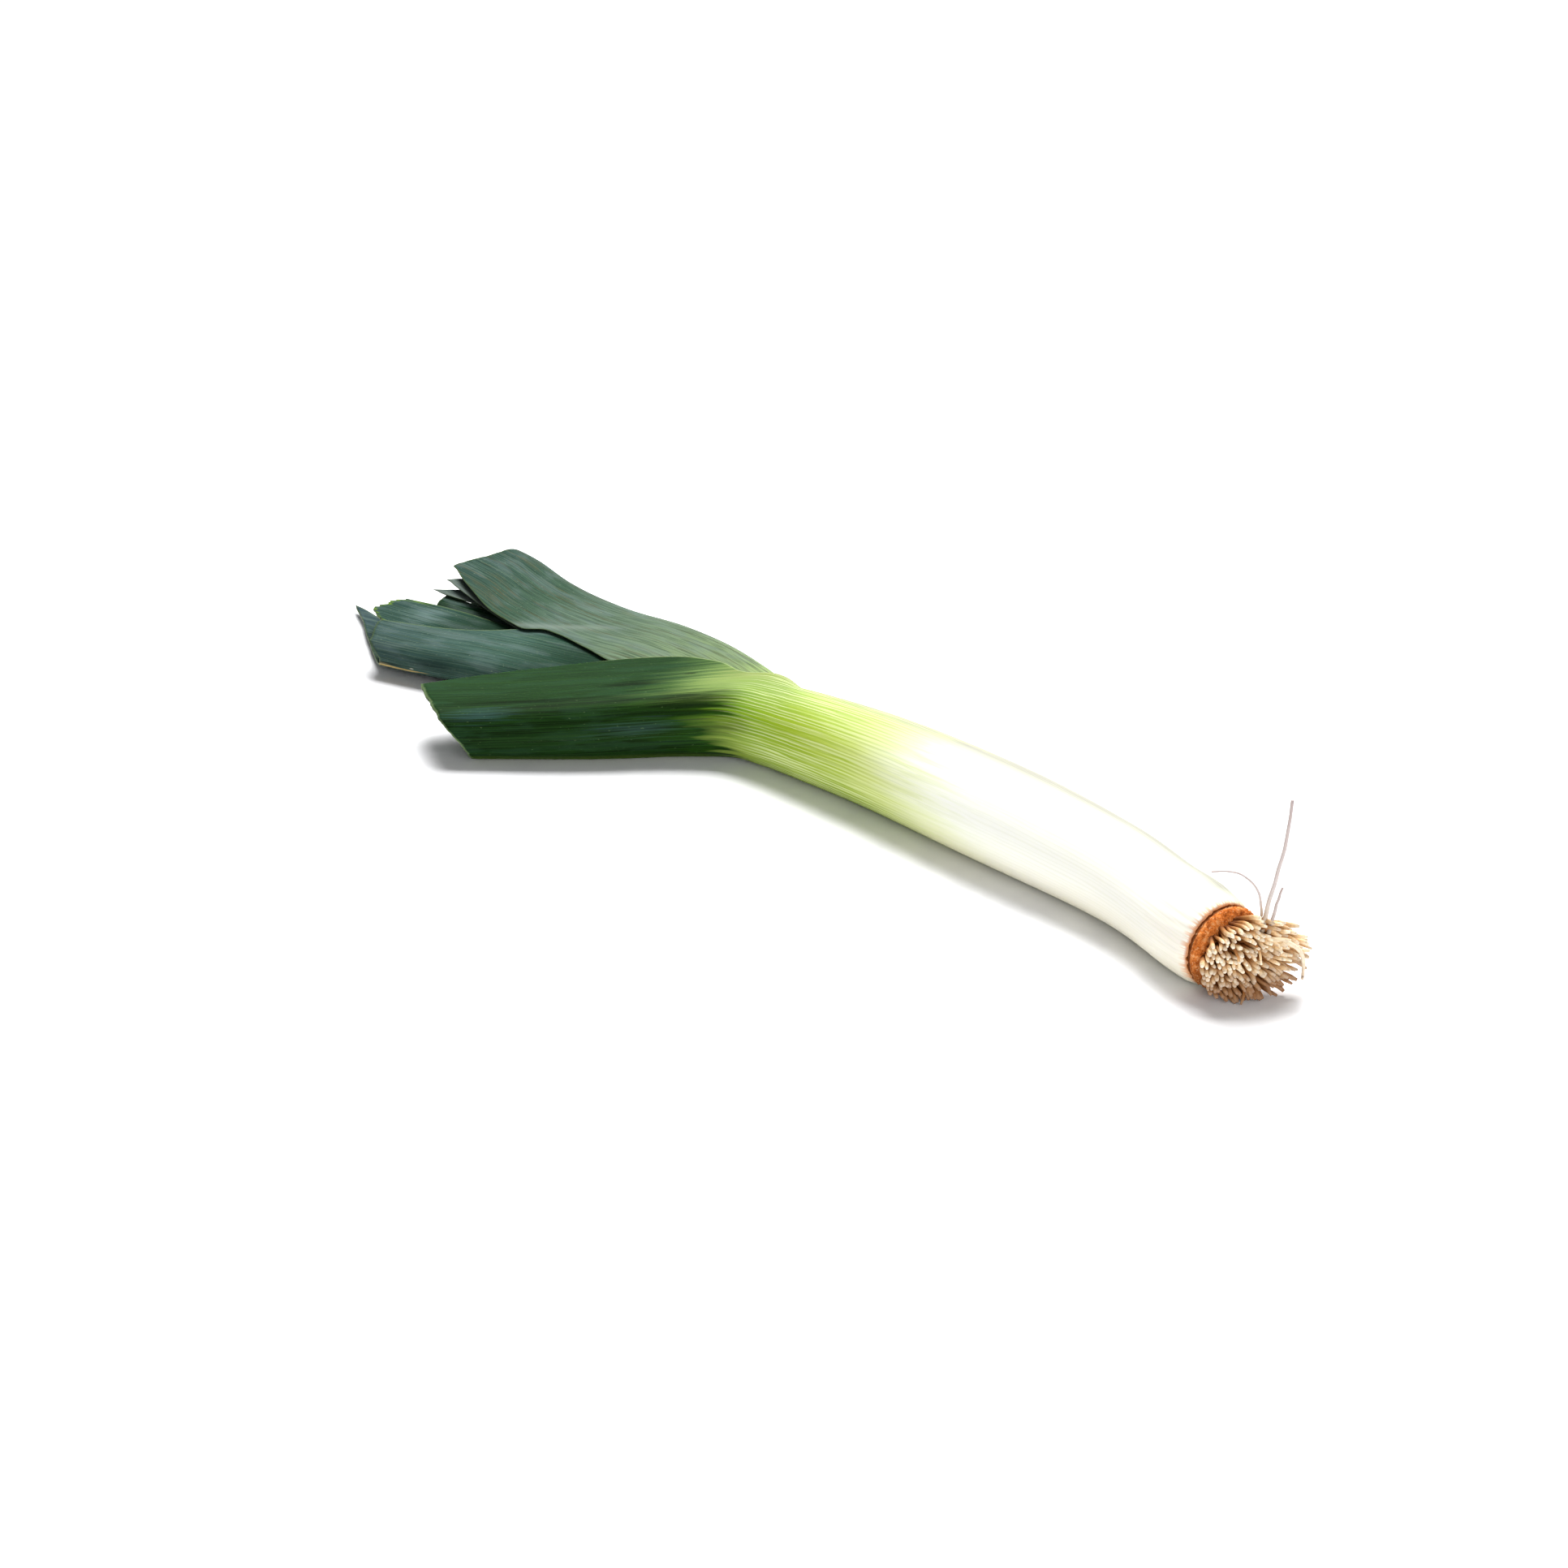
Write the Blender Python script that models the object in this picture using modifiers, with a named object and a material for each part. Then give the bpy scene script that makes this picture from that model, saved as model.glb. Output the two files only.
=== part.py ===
# A trimmed leek lying on a surface.
#
# The leek lies along X, roots towards +X and leaf tips towards -X, with +Z up and its origin at the
# middle of the floor under it. Lengths are in metres and angles in degrees.
#
# Every leaf is a sheath that wraps the shank and opens into a folded blade. The leaves stand in two
# ranks, with their keels (the folded midribs) in turn at the front (-Y) and at the back (+Y). All of them
# are read from one rule, which lays them out as a nest of half loops, so that no leaf cuts another.

import math
import random

import bmesh
import bpy
import numpy as np
from mathutils import Vector

# The centre line starts at the root plate and runs towards the tips. A station is a distance along it.
START = (0.2064, -0.0184)
HEADING = [(0.0, 13.0), (0.010, 17.0), (0.024, 21.0), (0.040, 18.0), (0.062, 9.0), (0.090, 6.0),
           (0.140, 6.0), (0.190, 0.5), (0.230, -1.5), (0.290, -6.0), (0.440, -7.0)]

# Half width and half height of the bundle of leaves at each station.
HALF_WIDTH = [(0.0, 0.0132), (0.005, 0.0146), (0.015, 0.0158), (0.035, 0.0156), (0.060, 0.0165),
              (0.100, 0.0178), (0.145, 0.0177), (0.205, 0.0156), (0.260, 0.0154), (0.320, 0.0145),
              (0.440, 0.0140)]
HALF_HEIGHT = [(0.0, 0.0132), (0.005, 0.0146), (0.015, 0.0158), (0.035, 0.0156), (0.060, 0.0165),
               (0.100, 0.0178), (0.145, 0.0177), (0.205, 0.0162), (0.260, 0.0132), (0.320, 0.0102),
               (0.440, 0.0098)]
FLATTENED = 0.0007

# The shank ends at the root plate, and from LEVEL_FROM towards it the middle keeps its height.
ROOT_END = 0.0046
LEVEL_FROM = 0.009

# The sheath of the outermost leaf is closed up to the mouth, and the shank is solid up to there.
MOUTH = 0.210
MOUTH_STEP = 0.004
LEAF_START = 0.2155
WALL = 0.0011
LEAF_THICKNESS = 0.0008
LEAF_GAP = 0.0003
RANKS = 7
LAYER = 1.0 / RANKS
PROBE = 0.0004

# Each leaf has its rank in the nest (7 is outermost), the side of its keel, how far its keel lies
# sideways from the centre line, its two widths from keel to margin, and the stations where its cut end
# lies from the lower margin (-1) over the keel (0) to the upper margin (+1).
LEAVES = {
    "shank_and_outer_leaf": dict(
        rank=7, side=-1,
        keel=[(0.200, -0.0155), (0.218, -0.0152), (0.231, -0.0166), (0.244, -0.0252), (0.267, -0.0438),
              (0.307, -0.0696), (0.350, -0.0950)],
        upper=[(0.210, 0.0500), (0.222, 0.0390), (0.235, 0.0345), (0.256, 0.0533), (0.268, 0.0611),
               (0.284, 0.0633), (0.305, 0.0593), (0.328, 0.0513), (0.344, 0.0419), (0.352, 0.0365)],
        lower=[(0.210, 0.0500), (0.218, 0.0480), (0.233, 0.0480), (0.262, 0.0530), (0.299, 0.0500),
               (0.350, 0.0430)],
        cut=[(-1.0, 0.3220), (-0.26, 0.3115), (-0.10, 0.3098), (0.0, 0.3113), (0.04, 0.3131), (0.10, 0.3165),
             (0.19, 0.3210), (0.33, 0.3265), (0.64, 0.3364), (1.0, 0.3444)], ragged=0.0004),
    "leaf_2": dict(
        rank=6, side=1,
        keel=[(0.215, 0.0138), (0.241, 0.0277), (0.270, 0.0408), (0.294, 0.0482), (0.326, 0.0532),
              (0.362, 0.0638), (0.388, 0.0752), (0.404, 0.0795)],
        upper=[(0.215, 0.0330), (0.250, 0.0460), (0.297, 0.0553), (0.313, 0.0504), (0.330, 0.0474),
               (0.339, 0.0488), (0.3445, 0.0530), (0.353, 0.0535), (0.378, 0.0524), (0.392, 0.0487),
               (0.407, 0.0415)],
        lower=[(0.215, 0.0330), (0.250, 0.0430), (0.292, 0.0480), (0.402, 0.0450)],
        cut=[(-1.0, 0.4000), (-0.25, 0.3980), (-0.08, 0.3940), (0.0, 0.3905), (0.10, 0.3951), (0.16, 0.3984),
             (0.32, 0.3997), (0.57, 0.4022), (0.81, 0.4058), (0.97, 0.4072), (1.0, 0.4067)], ragged=0.0004),
    "leaf_3": dict(
        rank=5, side=-1,
        keel=[(0.215, -0.0108), (0.222, -0.0113), (0.231, -0.0127), (0.244, -0.0165), (0.290, -0.0215),
              (0.352, -0.0238), (0.368, -0.0268), (0.392, -0.0298), (0.430, -0.0310)],
        upper=[(0.215, 0.0270), (0.250, 0.0350), (0.300, 0.0410), (0.345, 0.0383), (0.358, 0.0306),
               (0.369, 0.0268), (0.379, 0.0247), (0.392, 0.0226), (0.399, 0.0213)],
        lower=[(0.215, 0.0270), (0.250, 0.0330), (0.300, 0.0400), (0.380, 0.0430), (0.421, 0.0450),
               (0.432, 0.0486), (0.438, 0.0496)],
        cut=[(-1.0, 0.4368), (-0.94, 0.4330), (-0.84, 0.4231), (-0.58, 0.4091), (-0.13, 0.3880),
             (0.0, 0.3862), (0.13, 0.3893), (0.25, 0.3925), (0.36, 0.3930), (0.72, 0.3971),
             (0.89, 0.3988), (1.0, 0.3982)],
        ragged=0.0004),
    "leaf_4": dict(
        rank=4, side=1,
        keel=[(0.215, 0.0094), (0.241, 0.0170), (0.270, 0.0290), (0.329, 0.0450), (0.402, 0.0690)],
        upper=[(0.215, 0.0210), (0.250, 0.0300), (0.300, 0.0400), (0.392, 0.0391), (0.400, 0.0380),
               (0.405, 0.0367)],
        lower=[(0.215, 0.0210), (0.250, 0.0290), (0.300, 0.0370), (0.402, 0.0370)],
        cut=[(-1.0, 0.386), (0.0, 0.384), (0.70, 0.3940), (0.86, 0.4008), (0.94, 0.4030), (1.0, 0.4044)],
        ragged=0.0004),
    "leaf_5": dict(
        rank=3, side=-1,
        keel=[(0.215, -0.0072), (0.260, -0.0120), (0.340, -0.0150), (0.412, -0.0160)],
        upper=[(0.215, 0.0155), (0.250, 0.0220), (0.300, 0.0300), (0.354, 0.0320), (0.381, 0.0334),
               (0.394, 0.0330), (0.407, 0.0315), (0.414, 0.0308)],
        lower=[(0.215, 0.0155), (0.250, 0.0220), (0.300, 0.0310), (0.412, 0.0330)],
        cut=[(-1.0, 0.388), (0.0, 0.388), (0.33, 0.4023), (0.36, 0.4049), (0.45, 0.4082), (0.56, 0.4131),
             (0.68, 0.4123), (0.81, 0.4115), (0.92, 0.4100), (1.0, 0.4066)], ragged=0.0016),
    "leaf_6": dict(
        rank=2, side=1,
        keel=[(0.215, 0.0047), (0.241, 0.0100), (0.270, 0.0190), (0.329, 0.0360), (0.405, 0.0600)],
        upper=[(0.215, 0.0095), (0.250, 0.0150), (0.300, 0.0220), (0.382, 0.0267), (0.395, 0.0306),
               (0.402, 0.0324), (0.407, 0.0324)],
        lower=[(0.215, 0.0095), (0.250, 0.0150), (0.300, 0.0300), (0.402, 0.0470)],
        cut=[(-1.0, 0.394), (0.0, 0.384), (0.70, 0.3940), (0.79, 0.3986), (0.85, 0.4012), (0.93, 0.4039),
             (1.0, 0.4069)], ragged=0.0004),
    "leaf_7": dict(
        rank=1, side=-1,
        keel=[(0.215, -0.0025), (0.300, 0.0000), (0.400, 0.0000)],
        upper=[(0.215, 0.0048), (0.250, 0.0070), (0.300, 0.0140), (0.375, 0.0260), (0.401, 0.0308)],
        lower=[(0.215, 0.0048), (0.250, 0.0070), (0.300, 0.0140), (0.400, 0.0230)],
        cut=[(-1.0, 0.384), (0.0, 0.376), (0.50, 0.390), (0.68, 0.3981), (0.80, 0.3999), (1.0, 0.4008)],
        ragged=0.0004),
}

# The root plate is a turned button. Its profile gives radius and distance out from the shank's end.
PLATE_PROFILE = [(0.0, 0.0003), (0.0134, 0.0003), (0.0142, 0.0010), (0.0143, 0.0022), (0.0138, 0.0032),
                 (0.0126, 0.0038), (0.0, 0.0038)]
PLATE_STEPS = 28
PLATE_RIM = 0.0133
PLATE_ROUGHNESS = 0.0004

# The roots grow from a low domed core. Those near its rim lean out: by ROOT_SPREAD to the sides and by
# ROOT_RISE up and down, and all of them droop. They are short at the front and long at the back.
CORE_PROFILE = [(0.0, 0.0042), (0.0121, 0.0042), (0.0121, 0.0052), (0.0108, 0.0064), (0.0072, 0.0078),
                (0.0, 0.0085)]
CORE_STEPS = 20
CORE_RADIUS = 0.0119
CORE_WALL = 0.0052
CORE_DOME = 0.0032
ROOT_COUNT = 120
ROOT_SIDES = 4
ROOT_RADIUS = 0.00085
ROOT_SUNK = 0.0022
ROOT_SPREAD = 45.0
ROOT_RISE = 22.0
ROOT_DROOP = 2.0
ROOT_SCATTER = 9.0
ROOT_BEND = 0.0009
ROOT_SHORTEST = 0.0050
ROOT_LONGEST = 0.0190
ROOT_CLEARANCE = 0.0012
ROOT_SHORTENED = 0.7
ROOT_VARIATION = 0.15
ROOT_TAPER = 0.85
ROOT_STEPS = 7
GOLDEN_ANGLE = math.pi * (3 - math.sqrt(5))
SEED = 7

# Long roots: thickness at the base and points given as distances out, to the back and up from the
# middle of the shank's end.
LONG_ROOTS = {
    "long_root_1": (0.0008, [(0.0120, 0.0060, 0.0085), (0.0130, 0.0070, 0.0190), (0.0140, 0.0085, 0.0290),
                             (0.0150, 0.0100, 0.0380), (0.0155, 0.0105, 0.0470), (0.0155, 0.0110, 0.0550)]),
    "long_root_2": (0.0007, [(0.0140, 0.0070, 0.0085), (0.0145, 0.0080, 0.0145), (0.0150, 0.0090, 0.0205),
                             (0.0160, 0.0095, 0.0250)]),
    "long_root_3": (0.0005, [(0.0105, 0.0065, 0.0100), (0.0105, 0.0065, 0.0160), (0.0095, 0.0045, 0.0235),
                             (0.0065, 0.0010, 0.0280), (0.0035, -0.0030, 0.0290), (0.0010, -0.0070, 0.0290)]),
    "long_root_4": (0.0008, [(0.0150, 0.0050, 0.0075), (0.0185, 0.0105, 0.0065), (0.0210, 0.0140, 0.0035),
                             (0.0220, 0.0155, -0.0020), (0.0220, 0.0155, -0.0070)]),
}
LONG_ROOT_TAPER = 0.35
LONG_ROOT_ROOM = 0.0023

# How finely each form is divided. Rows crowd towards the root end of the shank and towards the mouth of
# the blades, and columns towards the keel.
LEAF_COLUMNS = 16
LEAF_ROWS = 12
SHANK_COLUMNS = 32
SHANK_ROWS = 15
BLADE_ROWS = 13
ROW_CROWDING = 1.4
MOUTH_CROWDING = 1.35
COLUMN_CROWDING = 1.5
SECTION_SAMPLES = 90
LONG_ROOT_STEPS = 12
SHARP_ANGLE = 40.0
MERGE = 0.00001


def smooth(knots, at):
    """Value at a station, or at an array of them, of the smooth curve through (station, value) knots."""
    x, y = np.transpose(knots)
    slope = np.gradient(y, x)
    at = np.clip(at, x[0], x[-1])
    i = np.clip(np.searchsorted(x, at) - 1, 0, len(x) - 2)
    run = x[i + 1] - x[i]
    t = (at - x[i]) / run
    rise = y[i] * (1 + 2 * t) * (1 - t) ** 2 + y[i + 1] * (3 - 2 * t) * t ** 2
    return rise + run * (slope[i] * t * (1 - t) ** 2 - slope[i + 1] * t ** 2 * (1 - t))


def centre_line(step=0.001, end=0.440):
    """Stations along the centre line, and the place and heading at each."""
    stations = np.arange(0.0, end + step, step)
    heading = np.radians(smooth(HEADING, stations))
    turn = (heading[1:] + heading[:-1]) / 2
    x = START[0] - np.concatenate([[0.0], np.cumsum(np.cos(turn))]) * step
    y = START[1] + np.concatenate([[0.0], np.cumsum(np.sin(turn))]) * step
    return stations, x, y, heading


STATIONS, CENTRE_X, CENTRE_Y, CENTRE_HEADING = centre_line()


def place(station, sideways, height):
    """World point at a station, a distance to the back of the centre line and a height."""
    x = np.interp(station, STATIONS, CENTRE_X)
    y = np.interp(station, STATIONS, CENTRE_Y)
    heading = np.interp(station, STATIONS, CENTRE_HEADING)
    return Vector((x + sideways * math.sin(heading), y + sideways * math.cos(heading), height))


def rise(distance, reach):
    """How far a leaf has risen to its full height at a distance from its rounded edge."""
    return np.sqrt(1 - (1 - np.clip(distance / reach, 0, 1)) ** 2)


def keel_offset(rank, station):
    """Sideways distance of the keel of the leaf with this rank."""
    for leaf in LEAVES.values():
        if leaf["rank"] == rank:
            ring = leaf["side"] * rank * LAYER * smooth(HALF_WIDTH, station)
            if station < leaf["keel"][0][0]:
                return ring
            return smooth(leaf["keel"], station)
    return keel_offset(2, station) - 2 * LAYER * smooth(HALF_WIDTH, station)


def half_section(leaf, station):
    """One half of a leaf's section: sideways distances and heights from its keel, by length along it."""
    rank, side = leaf["rank"], leaf["side"]
    scale = rank * LAYER
    keel = keel_offset(rank, station)
    closing = keel_offset(rank - 1, station) - side * LAYER * smooth(HALF_WIDTH, station)
    span = abs(closing - keel)
    out = span * (1 - np.cos(np.linspace(0, math.pi, SECTION_SAMPLES))) / 2
    reach = scale * smooth(HALF_WIDTH, station)
    high = scale * smooth(HALF_HEIGHT, station) * rise(out, reach) * rise(span - out, reach)
    length = np.concatenate([[0.0], np.cumsum(np.hypot(np.diff(out), np.diff(high)))])
    return keel - side * out, high, length


def middle_height(station):
    """Height of the middle of the bundle above the surface."""
    return smooth(HALF_HEIGHT, np.maximum(station, LEVEL_FROM)) - FLATTENED


def leaf_point(leaf, station, across, inset=0.0):
    """Point of a leaf's outer face, or inset from it, at -1 lower margin, 0 keel, +1 upper margin."""
    sideways, high, length = half_section(leaf, station)
    width = smooth(leaf["upper"] if across > 0 else leaf["lower"], station)
    along = min(abs(across) * width, length[-1])
    y = np.interp(along, length, sideways)
    h = np.interp(along, length, high)
    if inset:
        ahead = min(along + PROBE, length[-1])
        back = max(ahead - 2 * PROBE, 0.0)
        run = np.interp(ahead, length, sideways) - np.interp(back, length, sideways)
        climb = np.interp(ahead, length, high) - np.interp(back, length, high)
        if along < PROBE:
            run, climb = 0.0, 1.0
        size = math.hypot(run, climb)
        facing = -leaf["side"]
        y += inset * facing * climb / size
        h -= inset * facing * run / size
    z = middle_height(station) + math.copysign(h, across)
    below = RANKS - leaf["rank"]
    floor = below * (LEAF_THICKNESS + LEAF_GAP) + (WALL - LEAF_THICKNESS if below else 0.0)
    return place(station, y, max(z, floor + inset))


def cut_end(leaf, across, noise):
    """Station of a leaf's cut end at a place across it."""
    x, y = np.transpose(leaf["cut"])
    return np.interp(across, x, y) + noise.uniform(-1, 1) * leaf["ragged"]


def across_steps(columns):
    """Places across a leaf from margin to margin, closer together round the keel."""
    even = np.linspace(-1, 1, columns + 1)
    return np.sign(even) * np.abs(even) ** COLUMN_CROWDING


def material(name, colour, roughness):
    """Principled material with one colour."""
    made = bpy.data.materials.new(name)
    made.use_nodes = True
    shader = made.node_tree.nodes["Principled BSDF"]
    shader.inputs["Base Color"].default_value = (*colour, 1)
    shader.inputs["Roughness"].default_value = roughness
    return made


def add_object(name, mesh, finish, parts):
    """Object of a finished mesh in the leek's collection, shaded smooth."""
    mesh.materials.clear()
    mesh.materials.append(finish)
    mesh.shade_smooth()
    mesh.set_sharp_from_angle(angle=math.radians(SHARP_ANGLE))
    made = bpy.data.objects.new(name, mesh)
    parts.objects.link(made)
    return made


def add_shank_and_outer_leaf(finish, parts):
    """The solid shank, a loft whose outermost sheath opens at the mouth into a folded blade with walls."""
    leaf = LEAVES["shank_and_outer_leaf"]
    noise = random.Random(SEED)
    across = across_steps(SHANK_COLUMNS)
    ends = [cut_end(leaf, v, noise) for v in across]
    bm = bmesh.new()
    shank = []
    for part in np.linspace(0, 1, SHANK_ROWS):
        shank.append(shank_ring(bm, ROOT_END + (MOUTH - ROOT_END) * part ** ROW_CROWDING))
    for low, high in zip(shank, shank[1:]):
        for i in range(SHANK_COLUMNS):
            j = (i + 1) % SHANK_COLUMNS
            bm.faces.new((low[i], high[i], high[j], low[j]))
    bm.faces.new(shank[0])
    back = shank[-1][0]
    outer, inner = [], []
    for row in range(BLADE_ROWS + 1):
        part = (row / BLADE_ROWS) ** MOUTH_CROWDING
        stations = [(MOUTH + MOUTH_STEP) * (1 - part) + end * part for end in ends]
        outer.append([bm.verts.new(leaf_point(leaf, s, v)) for s, v in zip(stations, across)])
        inner.append([bm.verts.new(leaf_point(leaf, s, v, WALL)) for s, v in zip(stations, across)])
    ring = shank[-1] + [back]
    for i in range(SHANK_COLUMNS):
        bm.faces.new((ring[i], outer[0][i], outer[0][i + 1], ring[i + 1]))
        bm.faces.new((back, inner[0][i + 1], inner[0][i]))
        bm.faces.new((outer[-1][i], inner[-1][i], inner[-1][i + 1], outer[-1][i + 1]))
    bm.faces.new((back, inner[0][0], outer[0][0]))
    bm.faces.new((back, outer[0][-1], inner[0][-1]))
    for row in range(BLADE_ROWS):
        low, high, low_in, high_in = outer[row], outer[row + 1], inner[row], inner[row + 1]
        for i in range(SHANK_COLUMNS):
            bm.faces.new((low[i], high[i], high[i + 1], low[i + 1]))
            bm.faces.new((low_in[i], low_in[i + 1], high_in[i + 1], high_in[i]))
        bm.faces.new((low[0], low_in[0], high_in[0], high[0]))
        bm.faces.new((low[-1], high[-1], high_in[-1], low_in[-1]))
    return add_object("shank_and_outer_leaf", to_mesh(bm, "shank_and_outer_leaf"), finish, parts)


def shank_ring(bm, station):
    """Ring of the shank, from the back point down, round the front and over the top."""
    wide, tall = smooth(HALF_WIDTH, station), smooth(HALF_HEIGHT, station)
    ring = []
    for v in across_steps(SHANK_COLUMNS)[:-1]:
        angle = math.pi * v
        z = middle_height(station) + tall * math.sin(angle)
        ring.append(bm.verts.new(place(station, -wide * math.cos(angle), max(z, 0.0))))
    return ring


def add_leaf(name, finish, parts):
    """One inner leaf: a grid shaped into the folded, cut blade, then given its thickness."""
    leaf = LEAVES[name]
    noise = random.Random(SEED + leaf["rank"])
    across = across_steps(LEAF_COLUMNS)
    ends = [cut_end(leaf, v, noise) for v in across]
    bm = bmesh.new()
    bmesh.ops.create_grid(bm, x_segments=LEAF_ROWS, y_segments=LEAF_COLUMNS, size=0.5)
    for vertex in bm.verts:
        column = round((vertex.co.y + 0.5) * LEAF_COLUMNS)
        part = (vertex.co.x + 0.5) ** MOUTH_CROWDING
        station = LEAF_START * (1 - part) + ends[column] * part
        vertex.co = leaf_point(leaf, station, across[column])
    bmesh.ops.triangulate(bm, faces=bm.faces, quad_method="SHORT_EDGE")
    mesh = bpy.data.meshes.new(name)
    bm.to_mesh(mesh)
    bm.free()
    made = add_object(name, mesh, finish, parts)
    wall = made.modifiers.new("thickness", "SOLIDIFY")
    wall.thickness = LEAF_THICKNESS
    wall.offset = -leaf["side"]
    wall.use_even_offset = True
    return made


def root_axes():
    """Directions out of the shank's end, to its back and up."""
    heading = np.interp(ROOT_END, STATIONS, CENTRE_HEADING)
    out = Vector((math.cos(heading), -math.sin(heading), 0))
    back = Vector((math.sin(heading), math.cos(heading), 0))
    return out, back, Vector((0, 0, 1))


def root_place(out, back, up):
    """World point at distances out, to the back and up from the middle of the shank's end."""
    axes = root_axes()
    end = place(ROOT_END, 0.0, middle_height(ROOT_END))
    return end + axes[0] * out + axes[1] * back + axes[2] * up


def turned(profile, steps):
    """Closed mesh of a (radius, distance out) profile turned round the root end's axis."""
    bm = bmesh.new()
    line = [bm.verts.new((radius, 0, out)) for radius, out in profile]
    edges = [bm.edges.new(pair) for pair in zip(line, line[1:])]
    bmesh.ops.spin(bm, geom=line + edges, axis=(0, 0, 1), cent=(0, 0, 0), steps=steps,
                   angle=2 * math.pi, use_merge=True)
    bmesh.ops.remove_doubles(bm, verts=bm.verts, dist=MERGE)
    bmesh.ops.recalc_face_normals(bm, faces=bm.faces)
    for vertex in bm.verts:
        vertex.co = root_place(vertex.co.z, vertex.co.x, vertex.co.y)
    return bm


def to_mesh(bm, name):
    """Mesh of a finished bmesh, in triangles."""
    bmesh.ops.triangulate(bm, faces=bm.faces)
    bmesh.ops.recalc_face_normals(bm, faces=bm.faces)
    mesh = bpy.data.meshes.new(name)
    bm.to_mesh(mesh)
    bm.free()
    return mesh


def add_root_plate(finish, parts):
    """The corky plate, a turned button with a rough rim."""
    bm = turned(PLATE_PROFILE, PLATE_STEPS)
    noise = random.Random(SEED)
    middle = root_place(PLATE_PROFILE[3][1], 0, 0)
    rim = [v for v in bm.verts if (v.co - middle).length > PLATE_RIM]
    for vertex in rim:
        vertex.co -= (vertex.co - middle).normalized() * noise.uniform(0, PLATE_ROUGHNESS)
    return add_object("root_plate", to_mesh(bm, "root_plate"), finish, parts)


def curve_points(points, count):
    """Points along the smooth curve through a few points."""
    line = np.array(points)
    along = np.concatenate([[0.0], np.cumsum(np.linalg.norm(np.diff(line, axis=0), axis=1))])
    at = np.linspace(0, along[-1], count)
    return np.transpose([smooth(list(zip(along, line[:, axis])), at) for axis in range(3)])


def add_long_root(name, finish, parts):
    """One long root: a tapered tube through its points."""
    radius, points = LONG_ROOTS[name]
    curve = bpy.data.curves.new(name, "CURVE")
    curve.dimensions = "3D"
    curve.bevel_depth = radius
    curve.bevel_resolution = 1
    curve.use_fill_caps = True
    route = curve_points(points, LONG_ROOT_STEPS)
    spline = curve.splines.new("POLY")
    spline.points.add(len(route) - 1)
    for i, (point, step) in enumerate(zip(spline.points, route)):
        point.co = (*root_place(*step), 1)
        point.radius = 1 - (1 - LONG_ROOT_TAPER) * i / (len(route) - 1)
    curve.materials.append(finish)
    made = bpy.data.objects.new(name, curve)
    parts.objects.link(made)
    return made


def tuft_line(ratio, angle, noise):
    """Base and tip of one root of the tuft, as distances out, to the back and up."""
    back, up = math.cos(angle), math.sin(angle)
    aside = math.radians(ROOT_SPREAD * ratio * back + noise.uniform(-ROOT_SCATTER, ROOT_SCATTER))
    climb = math.radians(ROOT_RISE * ratio * up - ROOT_DROOP + noise.uniform(-ROOT_SCATTER, ROOT_SCATTER))
    along = np.array([1.0, math.tan(aside), math.tan(climb)])
    along /= np.linalg.norm(along)
    foot = np.array([CORE_WALL + CORE_DOME * (1 - ratio ** 2), ratio * CORE_RADIUS * back,
                     ratio * CORE_RADIUS * up])
    share = (0.5 + 0.5 * ratio * back) ** 1.5
    length = ROOT_SHORTEST + (ROOT_LONGEST - ROOT_SHORTEST) * share * noise.uniform(ROOT_SHORTENED, 1.0)
    base = foot - along * ROOT_SUNK
    base[0] = max(base[0], CORE_PROFILE[0][1] + ROOT_RADIUS)
    tip = foot + along * length
    tip[2] = max(tip[2], ROOT_CLEARANCE - middle_height(ROOT_END))
    return base, tip


def add_roots(finish, parts):
    """The tuft: short cut roots on a domed core, all joined in one body."""
    noise = random.Random(SEED)
    core = add_object("roots", to_mesh(turned(CORE_PROFILE, CORE_STEPS), "roots"), finish, parts)
    strands = bpy.data.collections.new("strands")
    bpy.context.scene.collection.children.link(strands)
    kept_clear = np.concatenate([curve_points(points, LONG_ROOT_STEPS) for _, points in LONG_ROOTS.values()])
    for i in range(ROOT_COUNT):
        ratio = math.sqrt((i + 0.5) / ROOT_COUNT)
        base, tip = tuft_line(ratio, i * GOLDEN_ANGLE, noise)
        bend = np.array([noise.uniform(-1, 1) for _ in range(3)]) * ROOT_BEND
        middle = (base + tip) / 2 + bend
        route = curve_points([base, middle, tip], ROOT_STEPS)
        if min(np.linalg.norm(kept_clear - at, axis=1).min() for at in route) < LONG_ROOT_ROOM:
            continue
        strand = bpy.data.objects.new("strand", strand_mesh(base, middle, tip, noise))
        strands.objects.link(strand)
    join = core.modifiers.new("join", "BOOLEAN")
    join.operation = "UNION"
    join.operand_type = "COLLECTION"
    join.collection = strands
    graph = bpy.context.evaluated_depsgraph_get()
    joined = bpy.data.meshes.new_from_object(core.evaluated_get(graph))
    core.modifiers.clear()
    core.data = joined
    for strand in list(strands.objects):
        bpy.data.objects.remove(strand)
    bpy.data.collections.remove(strands)
    return core


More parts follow.
